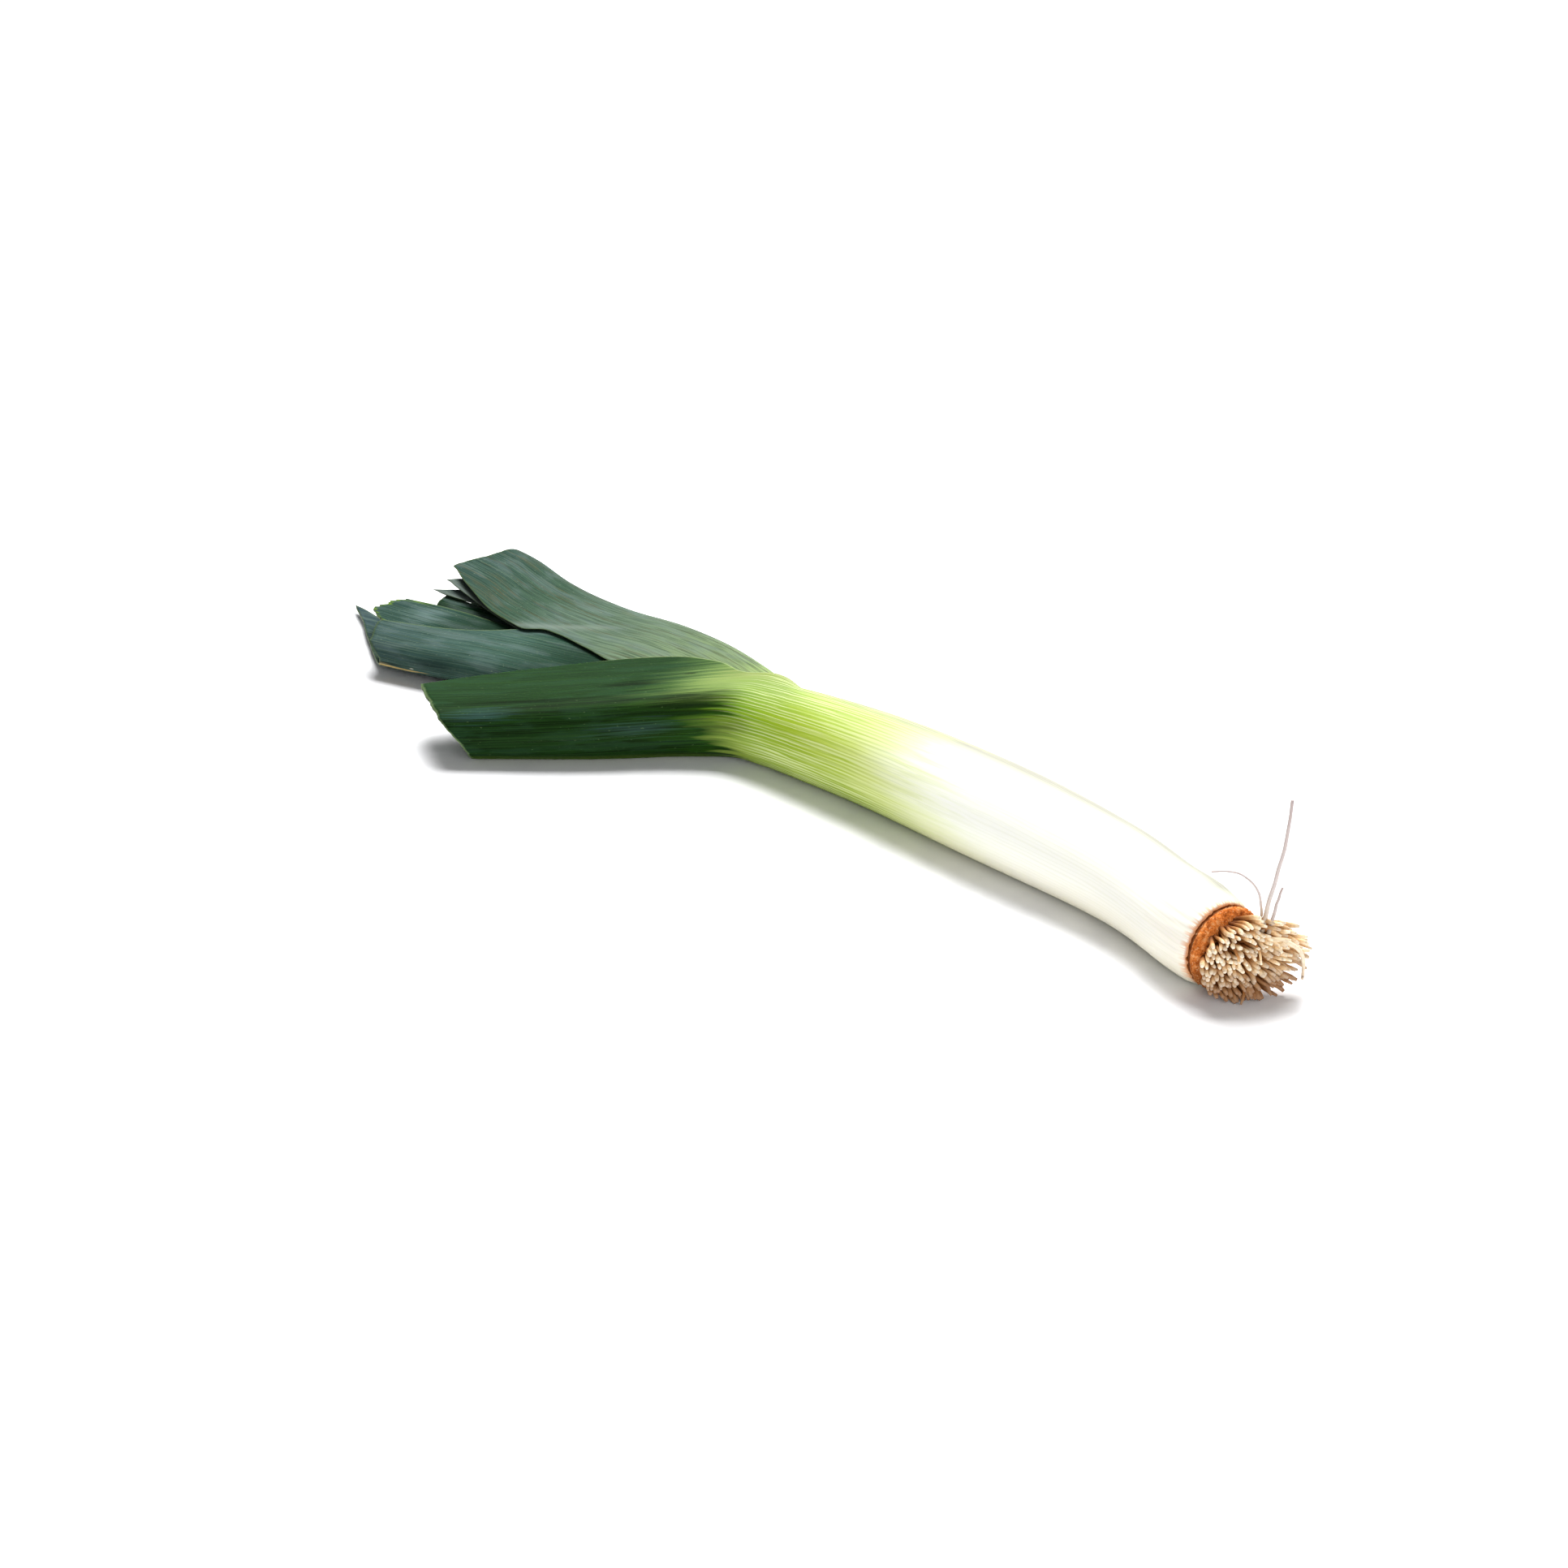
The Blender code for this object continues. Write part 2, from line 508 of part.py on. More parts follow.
def strand_mesh(base, middle, tip, noise):
    """One root of the tuft, a thin rod with a slight bend and a blunt cut end."""
    bm = bmesh.new()
    bmesh.ops.create_cone(bm, cap_ends=True, segments=ROOT_SIDES, radius1=1.0, radius2=ROOT_TAPER,
                          depth=2.0)
    sides = [e for e in bm.edges if abs(e.verts[0].co.z - e.verts[1].co.z) > 1]
    bmesh.ops.subdivide_edges(bm, edges=sides, cuts=1)
    start, half, end = (root_place(*at) for at in (base, middle, tip))
    turn = (end - start).to_track_quat("Z", "Y")
    radius = ROOT_RADIUS * noise.uniform(1 - ROOT_VARIATION, 1 + ROOT_VARIATION)
    for vertex in bm.verts:
        centre = start if vertex.co.z < -0.5 else half if vertex.co.z < 0.5 else end
        vertex.co = centre + turn @ Vector((vertex.co.x * radius, vertex.co.y * radius, 0))
    return to_mesh(bm, "strand")


def main():
    for old in list(bpy.data.objects):
        bpy.data.objects.remove(old)
    parts = bpy.data.collections.new("leek")
    bpy.context.scene.collection.children.link(parts)
    sheath = material("outer_sheath", (0.55, 0.66, 0.25), 0.45)
    blade = material("leaf_blade", (0.05, 0.13, 0.07), 0.5)
    cork = material("corky_plate", (0.45, 0.19, 0.06), 0.85)
    root = material("root", (0.68, 0.47, 0.27), 0.7)
    add_shank_and_outer_leaf(sheath, parts)
    for name in LEAVES:
        if name != "shank_and_outer_leaf":
            add_leaf(name, blade, parts)
    add_root_plate(cork, parts)
    add_roots(root, parts)
    for name in LONG_ROOTS:
        add_long_root(name, root, parts)


main()
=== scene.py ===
import functools
import math
import random

import bmesh
import bpy
import numpy as np
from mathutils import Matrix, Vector, noise


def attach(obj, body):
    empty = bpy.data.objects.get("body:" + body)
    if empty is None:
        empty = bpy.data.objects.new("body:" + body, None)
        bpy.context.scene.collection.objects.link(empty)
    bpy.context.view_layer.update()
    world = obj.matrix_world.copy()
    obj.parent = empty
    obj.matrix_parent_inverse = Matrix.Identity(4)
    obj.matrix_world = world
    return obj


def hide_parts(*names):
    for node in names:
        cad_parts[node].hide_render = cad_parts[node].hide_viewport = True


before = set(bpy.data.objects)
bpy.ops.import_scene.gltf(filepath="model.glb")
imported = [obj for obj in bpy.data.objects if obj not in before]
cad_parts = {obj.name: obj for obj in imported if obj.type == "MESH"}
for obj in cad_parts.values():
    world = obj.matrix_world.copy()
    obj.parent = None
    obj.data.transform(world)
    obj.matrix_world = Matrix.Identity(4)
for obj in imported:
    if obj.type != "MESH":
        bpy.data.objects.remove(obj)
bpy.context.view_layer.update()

MM = 0.001
SEED = 7

# The form of the leek, as its solids have it, in metres and degrees. Stations run from the root plate.
START = (0.2064, -0.0184)
HEADING = [(0.0, 13.0), (0.010, 17.0), (0.024, 21.0), (0.040, 18.0), (0.062, 9.0), (0.090, 6.0),
           (0.140, 6.0), (0.190, 0.5), (0.230, -1.5), (0.290, -6.0), (0.440, -7.0)]
HALF_WIDTH = [(0.0, 0.0132), (0.005, 0.0146), (0.015, 0.0158), (0.035, 0.0156), (0.060, 0.0165),
              (0.100, 0.0178), (0.145, 0.0177), (0.205, 0.0156), (0.260, 0.0154), (0.320, 0.0145),
              (0.440, 0.0140)]
HALF_HEIGHT = [(0.0, 0.0132), (0.005, 0.0146), (0.015, 0.0158), (0.035, 0.0156), (0.060, 0.0165),
               (0.100, 0.0178), (0.145, 0.0177), (0.205, 0.0162), (0.260, 0.0132), (0.320, 0.0102),
               (0.440, 0.0098)]
FLATTENED = 0.0007
ROOT_END = 0.0046
LEVEL_FROM = 0.009
MOUTH = 0.210
BLADE_START = 0.200
SECTION_POINTS = 120
WALL = 0.0011
LEAF_THICKNESS = 0.0008
LEAF_GAP = 0.0003
LEAF_ROWS = 120
LEAF_COLUMNS = 84
SHEATH_ROWS = 236
SHEATH_COLUMNS = 200
TORN_COLUMNS = 220
THIN_EDGE = 0.003
EDGE_SHARE = 0.35
HALF_ROUND = 0.0495
NEAR_KEEL = 0.01
MERGED = 0.02 * MM
RANKS = 7
LAYER = 1.0 / RANKS
LEAVES = {
    "shank_and_outer_leaf": dict(
        rank=7, side=-1,
        keel=[(0.200, -0.0155), (0.218, -0.0152), (0.231, -0.0166), (0.244, -0.0252), (0.267, -0.0438),
              (0.307, -0.0696), (0.350, -0.0950)],
        upper=[(0.210, 0.0500), (0.222, 0.0390), (0.235, 0.0345), (0.256, 0.0533), (0.268, 0.0611),
               (0.284, 0.0633), (0.305, 0.0593), (0.328, 0.0513), (0.344, 0.0419), (0.352, 0.0365)],
        lower=[(0.210, 0.0500), (0.218, 0.0480), (0.233, 0.0480), (0.262, 0.0530), (0.299, 0.0500),
               (0.350, 0.0430)],
        cut=[(-1.0, 0.3220), (-0.26, 0.3115), (-0.10, 0.3098), (0.0, 0.3113), (0.04, 0.3131),
             (0.10, 0.3165), (0.19, 0.3210), (0.33, 0.3265), (0.64, 0.3364), (1.0, 0.3444)],
        ragged=0.0004),
    "leaf_2": dict(
        rank=6, side=1,
        keel=[(0.215, 0.0138), (0.241, 0.0277), (0.270, 0.0408), (0.294, 0.0482), (0.326, 0.0532),
              (0.362, 0.0638), (0.388, 0.0752), (0.404, 0.0795)],
        upper=[(0.215, 0.0330), (0.250, 0.0460), (0.297, 0.0553), (0.313, 0.0504), (0.330, 0.0474),
               (0.339, 0.0488), (0.3445, 0.0530), (0.353, 0.0535), (0.378, 0.0524), (0.392, 0.0487),
               (0.407, 0.0415)],
        lower=[(0.215, 0.0330), (0.250, 0.0430), (0.292, 0.0480), (0.402, 0.0450)],
        cut=[(-1.0, 0.4000), (-0.25, 0.3980), (-0.08, 0.3940), (0.0, 0.3905), (0.10, 0.3951),
             (0.16, 0.3984), (0.32, 0.3997), (0.57, 0.4022), (0.81, 0.4058), (0.97, 0.4072),
             (1.0, 0.4067)],
        ragged=0.0004),
    "leaf_3": dict(
        rank=5, side=-1,
        keel=[(0.215, -0.0108), (0.222, -0.0113), (0.231, -0.0127), (0.244, -0.0165), (0.290, -0.0215),
              (0.352, -0.0238), (0.368, -0.0268), (0.392, -0.0298), (0.430, -0.0310)],
        upper=[(0.215, 0.0270), (0.250, 0.0350), (0.300, 0.0410), (0.345, 0.0383), (0.358, 0.0306),
               (0.369, 0.0268), (0.379, 0.0247), (0.392, 0.0226), (0.399, 0.0213)],
        lower=[(0.215, 0.0270), (0.250, 0.0330), (0.300, 0.0400), (0.380, 0.0430), (0.421, 0.0450),
               (0.432, 0.0486), (0.438, 0.0496)],
        cut=[(-1.0, 0.4368), (-0.94, 0.4330), (-0.84, 0.4231), (-0.58, 0.4091), (-0.13, 0.3880),
             (0.0, 0.3862), (0.13, 0.3893), (0.25, 0.3925), (0.36, 0.3930), (0.72, 0.3971),
             (0.89, 0.3988), (1.0, 0.3982)],
        ragged=0.0004),
    "leaf_4": dict(
        rank=4, side=1,
        keel=[(0.215, 0.0094), (0.241, 0.0170), (0.270, 0.0290), (0.329, 0.0450), (0.402, 0.0690)],
        upper=[(0.215, 0.0210), (0.250, 0.0300), (0.300, 0.0400), (0.392, 0.0391), (0.400, 0.0380),
               (0.405, 0.0367)],
        lower=[(0.215, 0.0210), (0.250, 0.0290), (0.300, 0.0370), (0.402, 0.0370)],
        cut=[(-1.0, 0.386), (0.0, 0.384), (0.70, 0.3940), (0.86, 0.4008), (0.94, 0.4030), (1.0, 0.4044)],
        ragged=0.0004),
    "leaf_5": dict(
        rank=3, side=-1,
        keel=[(0.215, -0.0072), (0.260, -0.0120), (0.340, -0.0150), (0.412, -0.0160)],
        upper=[(0.215, 0.0155), (0.250, 0.0220), (0.300, 0.0300), (0.354, 0.0320), (0.381, 0.0334),
               (0.394, 0.0330), (0.407, 0.0315), (0.414, 0.0308)],
        lower=[(0.215, 0.0155), (0.250, 0.0220), (0.300, 0.0310), (0.412, 0.0330)],
        cut=[(-1.0, 0.388), (0.0, 0.388), (0.33, 0.4023), (0.36, 0.4049), (0.45, 0.4082), (0.56, 0.4131),
             (0.68, 0.4123), (0.81, 0.4115), (0.92, 0.4100), (1.0, 0.4066)], ragged=0.0016),
    "leaf_6": dict(
        rank=2, side=1,
        keel=[(0.215, 0.0047), (0.241, 0.0100), (0.270, 0.0190), (0.329, 0.0360), (0.405, 0.0600)],
        upper=[(0.215, 0.0095), (0.250, 0.0150), (0.300, 0.0220), (0.382, 0.0267), (0.395, 0.0306),
               (0.402, 0.0324), (0.407, 0.0324)],
        lower=[(0.215, 0.0095), (0.250, 0.0150), (0.300, 0.0300), (0.402, 0.0470)],
        cut=[(-1.0, 0.394), (0.0, 0.384), (0.70, 0.3940), (0.79, 0.3986), (0.85, 0.4012), (0.93, 0.4039),
             (1.0, 0.4069)], ragged=0.0004),
    "leaf_7": dict(
        rank=1, side=-1,
        keel=[(0.215, -0.0025), (0.300, 0.0000), (0.400, 0.0000)],
        upper=[(0.215, 0.0048), (0.250, 0.0070), (0.300, 0.0140), (0.375, 0.0272), (0.388, 0.0296),
               (0.401, 0.0310)],
        lower=[(0.215, 0.0048), (0.250, 0.0070), (0.300, 0.0140), (0.400, 0.0230)],
        cut=[(-1.0, 0.384), (0.0, 0.376), (0.50, 0.390), (0.68, 0.3981), (0.80, 0.3999), (1.0, 0.4008)],
        ragged=0.0004),
}

# A leaf's cut: its waves and nicks, as the number a metre and the places in the noise, and their depth.
CUT_WAVES = ((230.0, 3.7, 0.5), (750.0, 5.1, 2.5))
CUT_DEPTH = 1.2
CUT_CALM = 0.0002

# Leaf 2 folds over a soft crease: its length from the keel there is START + SLOPE times the station.
CREASE_SLOPE = 0.65
CREASE_START = -0.1742
CREASE_STATION = 0.328
CREASE_REACH = 0.024
CREASE_WIDTH = 3.6 * MM
CREASE_HEIGHT = 0.40 * MM

# Where the sheath meets the plate it is ribbed, turns in and ends in a slight fringe.
RIB_PITCH = 3.1 * MM
RIB_WANDER = 9 * MM
RIB_REACH = 0.045
RIB_HEIGHT = 0.14 * MM
TURN_REACH = 0.0045
TURN_DEPTH = 0.7 * MM
FRINGE = 0.0006
FRINGE_WAVE = 1.6 * MM

# Low waves and flutes: size, what a step along, across and round the leaf counts for, and height.
SWELLS = {
    "sheath_wave": (22 * MM, (0.4, 1.0, 0.7), 0.16 * MM),
    "sheath_flute": (3.5 * MM, (0.05, 1.0, 0.5), 0.07 * MM),
    "blade_wave": (26 * MM, (1.0, 0.6, 0.3), 0.14 * MM),
    "blade_flute": (3.2 * MM, (0.05, 1.0, 0.0), 0.06 * MM),
}

# The tuft follows the solid's rule, with more roots.
CORE_RADIUS = 0.0114
CORE_WALL = 0.0044
CORE_DOME = 0.0030
CORE_LOW = 0.0006
ROOT_COUNT = 235
ROOT_RADIUS = 0.00074
ROOT_SPREAD = 45.0
ROOT_RISE = 22.0
ROOT_DROOP = 3.0
ROOT_SCATTER = 7.0
ROOT_SHORTEST = 0.0056
ROOT_LONGEST = 0.0195
ROOT_SHORTENED = 0.72
ROOT_CLEARANCE = 0.0009
ROOT_CLUMP = 0.0042
ROOT_GATHER = 15.0
ROOT_SUNK = 0.0012
ROOT_LIFT = 0.0002
ROOT_BEND = 0.07
ROOT_SAG = 0.05
ROOT_SIDES = 8
ROOT_ROWS = 8
ROOT_GIRTH = (0.78, 1.22)
ROOT_PROFILE = np.array([1.0, 1.0, 0.97, 0.95, 0.97, 1.0, 1.02, 1.0, 0.62])
GOLDEN_ANGLE = math.pi * (3 - math.sqrt(5))
LONG_ROOTS = {
    "long_root_1": (0.00078, 0.35, [(0.0120, 0.0060, 0.0085), (0.0130, 0.0070, 0.0190),
                                    (0.0140, 0.0085, 0.0290), (0.0150, 0.0100, 0.0380),
                                    (0.0155, 0.0105, 0.0470), (0.0155, 0.0110, 0.0550)]),
    "long_root_2": (0.00070, 0.45, [(0.0140, 0.0070, 0.0085), (0.0145, 0.0080, 0.0145),
                                    (0.0150, 0.0090, 0.0205), (0.0160, 0.0095, 0.0250)]),
    "long_root_3": (0.00048, 0.45, [(0.0105, 0.0065, 0.0100), (0.0105, 0.0065, 0.0160),
                                    (0.0095, 0.0045, 0.0235), (0.0065, 0.0010, 0.0280),
                                    (0.0035, -0.0030, 0.0290), (0.0010, -0.0070, 0.0290)]),
    "long_root_4": (0.00095, 0.50, [(0.0150, 0.0050, 0.0075), (0.0185, 0.0105, 0.0065),
                                    (0.0210, 0.0140, 0.0035), (0.0220, 0.0155, -0.0020),
                                    (0.0220, 0.0155, -0.0070)]),
}
LOOSE_ROOTS = [
    [(0.0080, 0.0000, -0.0060), (0.0125, -0.0008, -0.0088), (0.0145, -0.0022, -0.0112),
     (0.0150, -0.0036, -0.0134)],
    [(0.0075, -0.0062, 0.0078), (0.0120, -0.0062, 0.0074), (0.0140, -0.0056, 0.0045),
     (0.0145, -0.0049, 0.0000)],
    [(0.0080, 0.0010, 0.0085), (0.0130, 0.0005, 0.0080), (0.0165, 0.0010, 0.0055),
     (0.0185, 0.0005, 0.0015)],
]
LOOSE_TAPER = 0.5
LOOSE_TINT = 0.1
LONG_SIDES = 10
LONG_ROWS = 60
LONG_POINTS = 40
KINK = 0.00014
KINK_COUNT = 9
GIRTH_SWELL = 0.04

# The root plate: its profile as radius and distance out in millimetres, its crumbs and the painted shade
# in its groove.
RING_PROFILE = [(0.0, -1.6), (12.9, -1.6), (13.2, -0.4), (13.35, 0.2), (13.35, 0.6), (13.5, 0.9),
                (13.8, 1.3), (14.05, 1.8), (14.1, 2.4), (13.95, 3.0), (13.6, 3.5), (13.1, 3.9),
                (12.4, 4.3), (11.6, 4.7), (10.4, 5.1), (8.0, 5.6), (4.0, 6.2), (0.0, 6.4)]
RING_STEPS = 200
RIM_FROM = 9 * MM
RIM_CRUMBS = ((1.5 * MM, 0.46), (0.7 * MM, 0.32))
RIM_GRIT = 0.05
RIM_OUT = 0.7
GROOVE_TOP = 1.5 * MM
GROOVE_DEPTH = 0.8 * MM
GROOVE_PATCH = 1.6 * MM
RING_LIFT = 0.0001

# The camera looks at the point that the photograph is centred on.
CAMERA_TARGET = Vector((0.0050, -0.0006, 0.0))
CAMERA_AZIMUTH = 40.7
CAMERA_ELEVATION = 27.0
CAMERA_DISTANCE = 1.10
CAMERA_LENS = 70.0
SENSOR_WIDTH = 36.0
TABLE_HALF = 8.0
SKY_STRENGTH = 0.19
LIGHTS = [("key_softbox", (-0.30, 0.60, 1.30), 1.0, 50.0), ("end_fill", (0.85, -0.70, 0.50), 0.8, 4.0),
          ("root_fill", (0.70, -0.30, 0.30), 0.3, 0.7)]


# Form

def smooth(knots, at):
    """Value at a station of the smooth curve through (station, value) knots."""
    x, y = np.transpose(knots)
    slope = np.gradient(y, x)
    at = np.clip(at, x[0], x[-1])
    i = np.clip(np.searchsorted(x, at) - 1, 0, len(x) - 2)
    run = x[i + 1] - x[i]
    t = (at - x[i]) / run
    value = y[i] * (1 + 2 * t) * (1 - t) ** 2 + y[i + 1] * (3 - 2 * t) * t ** 2
    return value + run * (slope[i] * t * (1 - t) ** 2 - slope[i + 1] * t ** 2 * (1 - t))


def centre_line(step=MM, end=0.440):
    """Stations along the centre line, and the place and heading at each."""
    stations = np.arange(0.0, end + step, step)
    heading = np.radians(smooth(HEADING, stations))
    turn = (heading[1:] + heading[:-1]) / 2
    x = START[0] - np.concatenate([[0.0], np.cumsum(np.cos(turn))]) * step
    y = START[1] + np.concatenate([[0.0], np.cumsum(np.sin(turn))]) * step
    return stations, x, y, heading


STATIONS, CENTRE_X, CENTRE_Y, CENTRE_HEADING = centre_line()


def place(station, sideways, height):
    """Point at a station, a distance to the back of the centre line and a height."""
    x = np.interp(station, STATIONS, CENTRE_X)
    y = np.interp(station, STATIONS, CENTRE_Y)
    heading = np.interp(station, STATIONS, CENTRE_HEADING)
    return Vector((x + sideways * math.sin(heading), y + sideways * math.cos(heading), height))


def rise(distance, reach):
    """How far a leaf has risen to its full height at a distance from its rounded edge."""
    return np.sqrt(1 - (1 - np.clip(distance / reach, 0, 1)) ** 2)


def keel_offset(rank, station):
    """Sideways distance of the keel of the leaf with this rank."""
    for leaf in LEAVES.values():
        if leaf["rank"] == rank:
            if station < leaf["keel"][0][0]:
                return leaf["side"] * rank * LAYER * smooth(HALF_WIDTH, station)
            return smooth(leaf["keel"], station)
    return keel_offset(2, station) - 2 * LAYER * smooth(HALF_WIDTH, station)


def middle_height(station):
    """Height of the middle of the bundle above the surface."""
    return smooth(HALF_HEIGHT, max(station, LEVEL_FROM)) - FLATTENED


@functools.cache
def section(name, step):
    """A leaf's half section at a whole millimetre: its places, heights, lengths, widths and middle."""
    leaf, station = LEAVES[name], step * MM
    rank, side = leaf["rank"], leaf["side"]
    keel = keel_offset(rank, station)
    closing = keel_offset(rank - 1, station) - side * LAYER * smooth(HALF_WIDTH, station)
    span = abs(closing - keel)
    out = span * (1 - np.cos(np.linspace(0, math.pi, SECTION_POINTS))) / 2
    reach = rank * LAYER * smooth(HALF_WIDTH, station)
    high = rank * LAYER * smooth(HALF_HEIGHT, station) * rise(out, reach) * rise(span - out, reach)
    length = np.concatenate([[0.0], np.cumsum(np.hypot(np.diff(out), np.diff(high)))])
    girth = length[-1]
    widths = [girth if station < MOUTH else min(smooth(leaf[half], station), girth)
              for half in ("lower", "upper")]
    return keel - side * out, high, length, widths, middle_height(station)


def leaf_point(name, station, across):
    """Point of a leaf's outer face and its length from the keel. Across: -1 lower margin, +1 upper."""
    step = math.floor(station / MM)
    share = station / MM - step
    sideways, z, along = 0.0, 0.0, 0.0
    for whole, weight in ((step, 1 - share), (step + 1, share)):
        places, heights, length, widths, middle = section(name, whole)
        reach = abs(across) * widths[across > 0]
        sideways += weight * np.interp(reach, length, places)
        z += weight * (middle + math.copysign(np.interp(reach, length, heights), across))
        along += weight * reach
    below = RANKS - LEAVES[name]["rank"]
    floor = below * (LEAF_THICKNESS + LEAF_GAP) + (WALL - LEAF_THICKNESS if below else 0.0)
    return place(station, sideways, max(z, floor)), along


def cut_end(leaf, across, width):
    """Station of a leaf's cut end at a place across it, with the small waves and nicks of the cut."""
    x, y = np.transpose(leaf["cut"])
    at = across * width
    rough = sum(noise.noise(Vector((at * per_metre, leaf["rank"] * step, layer)))
                for per_metre, step, layer in CUT_WAVES)
    return np.interp(across, x, y) + (leaf["ragged"] - CUT_CALM) * CUT_DEPTH * rough


def sheet(name, start, rows, columns, relief, fringe=0.0):
    """Fine sheet of a leaf's outer face, with station, across, margin and cut written on its points."""
    leaf = LEAVES[name]
    bm = bmesh.new()
    bmesh.ops.create_grid(bm, x_segments=rows, y_segments=columns, size=0.5)
    layers = {key: bm.verts.layers.float.new(key) for key in ("station", "across", "margin", "cut")}
    body = bm.verts.layers.deform.new()
    spread = bm.loops.layers.uv.new("spread")
    widest = max(width for _, width in leaf["upper"])
    shares = [2 * i / columns - 1 for i in range(columns + 1)]
    ends = [cut_end(leaf, share, widest) for share in shares]
    radius = HALF_ROUND / math.pi
    starts = [start + fringe * ripple(FRINGE_WAVE, radius * math.cos(share * math.pi),
                                      radius * math.sin(share * math.pi)) for share in shares]
    for vertex in bm.verts:
        column = round((vertex.co.y + 0.5) * columns)
        across = shares[column]
        station = starts[column] + (ends[column] - starts[column]) * (vertex.co.x + 0.5)
        vertex.co, along = leaf_point(name, station, across)
        margin = along * (1 / max(abs(across), NEAR_KEEL) - 1)
        vertex[layers["station"]] = station
        vertex[layers["across"]] = along
        vertex[layers["margin"]] = margin
        vertex[layers["cut"]] = ends[column] - station
        from_keel = across * HALF_ROUND if station < MOUTH else math.copysign(along, across)
        for loop in vertex.link_loops:
            loop[spread].uv = (station, from_keel)
        vertex[body][0] = 1.0 if station < MOUTH else min(1.0, EDGE_SHARE + margin / THIN_EDGE)
    bmesh.ops.remove_doubles(bm, verts=bm.verts, dist=MERGED)
    bmesh.ops.recalc_face_normals(bm, faces=bm.faces)
    bm.normal_update()
    outward = leaf["side"] * max(bm.verts, key=lambda v: -v[layers["across"]]).normal.y
    if outward < 0:
        bmesh.ops.reverse_faces(bm, faces=bm.faces)
        bm.normal_update()
    moves = [v.normal * relief(v[layers["station"]], v[layers["across"]], v.co) for v in bm.verts]
    for vertex, move in zip(bm.verts, moves):
        vertex.co += move
        vertex.co.z = max(vertex.co.z, 0.0)
    return bm


def piece(name, bm, materials, node, wall=0.0):
    """Object of a finished bmesh that stands for a node, with an optional wall inside its faces."""
    mesh = bpy.data.meshes.new(name)
    bm.to_mesh(mesh)
    bm.free()
    mesh.shade_smooth()
    for finish in materials:
        mesh.materials.append(finish)
    made = bpy.data.objects.new(name, mesh)
    bpy.context.scene.collection.objects.link(made)
    if wall:
        made.vertex_groups.new(name="body")
        solid = made.modifiers.new("wall", "SOLIDIFY")
        solid.vertex_group = "body"
        solid.thickness_vertex_group = 0.0
        solid.thickness = wall
        solid.offset = -1
        solid.use_even_offset = True
        solid.use_rim = True
        solid.material_offset_rim = 1
    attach(made, "root")
    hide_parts(node)
    return made


def ripple(scale, x, y, z=0.0):
    """Smooth random value between about -1 and 1 that changes over one scale."""
    return noise.noise(Vector((x, y, z)) / scale)


def swell(kind, *at):
    """Height of a low wave or flute at a place along, across and round a leaf."""
    size, counts, height = SWELLS[kind]
    return height * ripple(size, *(step * count for step, count in zip(at, counts)))


def sheath_relief(station, across, point):
    """Ribs where the sheath meets the plate, and slight unevenness along the rest."""
    wander = 2 * ripple(RIB_WANDER, station, across, point.z)
    ribs = math.sin(across / RIB_PITCH * 2 * math.pi + wander)
    near_plate = max(0.0, 1 - station / RIB_REACH) ** 1.5
    turned_in = max(0.0, 1 - (station - ROOT_END) / TURN_REACH) ** 2
    uneven = sum(swell(kind, station, across, point.z) for kind in ("sheath_wave", "sheath_flute"))
    return RIB_HEIGHT * near_plate * ribs + uneven - TURN_DEPTH * turned_in


def blade_relief(station, across, point):
    """Slight waves across a blade and shallow flutes along it."""
    return sum(swell(kind, station, across, point.y) for kind in ("blade_wave", "blade_flute"))


def creased_relief(station, across, point):
    """A blade's waves with the soft ridge of the crease."""
    off = (across - CREASE_START - CREASE_SLOPE * station) / CREASE_WIDTH
    fade = max(0.0, 1 - abs(station - CREASE_STATION) / CREASE_REACH)
    return blade_relief(station, across, point) + CREASE_HEIGHT * fade * math.exp(-off * off)


# Roots

def root_axes():
    """Directions out of the shank's end, to its back and up."""
    heading = np.interp(ROOT_END, STATIONS, CENTRE_HEADING)
    out = Vector((math.cos(heading), -math.sin(heading), 0))
    back = Vector((math.sin(heading), math.cos(heading), 0))
    return out, back, Vector((0, 0, 1))


def root_place(out, back, up):
    """Point at distances out, to the back and up from the middle of the shank's end."""
    axes = root_axes()
    end = place(ROOT_END, 0.0, middle_height(ROOT_END))
    return end + axes[0] * out + axes[1] * back + axes[2] * up


def strand_template(sides, rows):
    """Closed rod from z = 0 to z = 1 and of radius 1, in rows that can be bent."""
    bm = bmesh.new()
    bmesh.ops.create_cone(bm, cap_ends=True, segments=sides, radius1=1, radius2=1, depth=1)
    bmesh.ops.translate(bm, verts=bm.verts, vec=(0, 0, 0.5))
    long_edges = [e for e in bm.edges if abs(e.verts[0].co.z - e.verts[1].co.z) > 0.5]
    bmesh.ops.subdivide_edges(bm, edges=long_edges, cuts=rows - 1, use_grid_fill=True)
    mesh = bpy.data.meshes.new("strand_template")
    bm.to_mesh(mesh)
    bm.free()
    return mesh


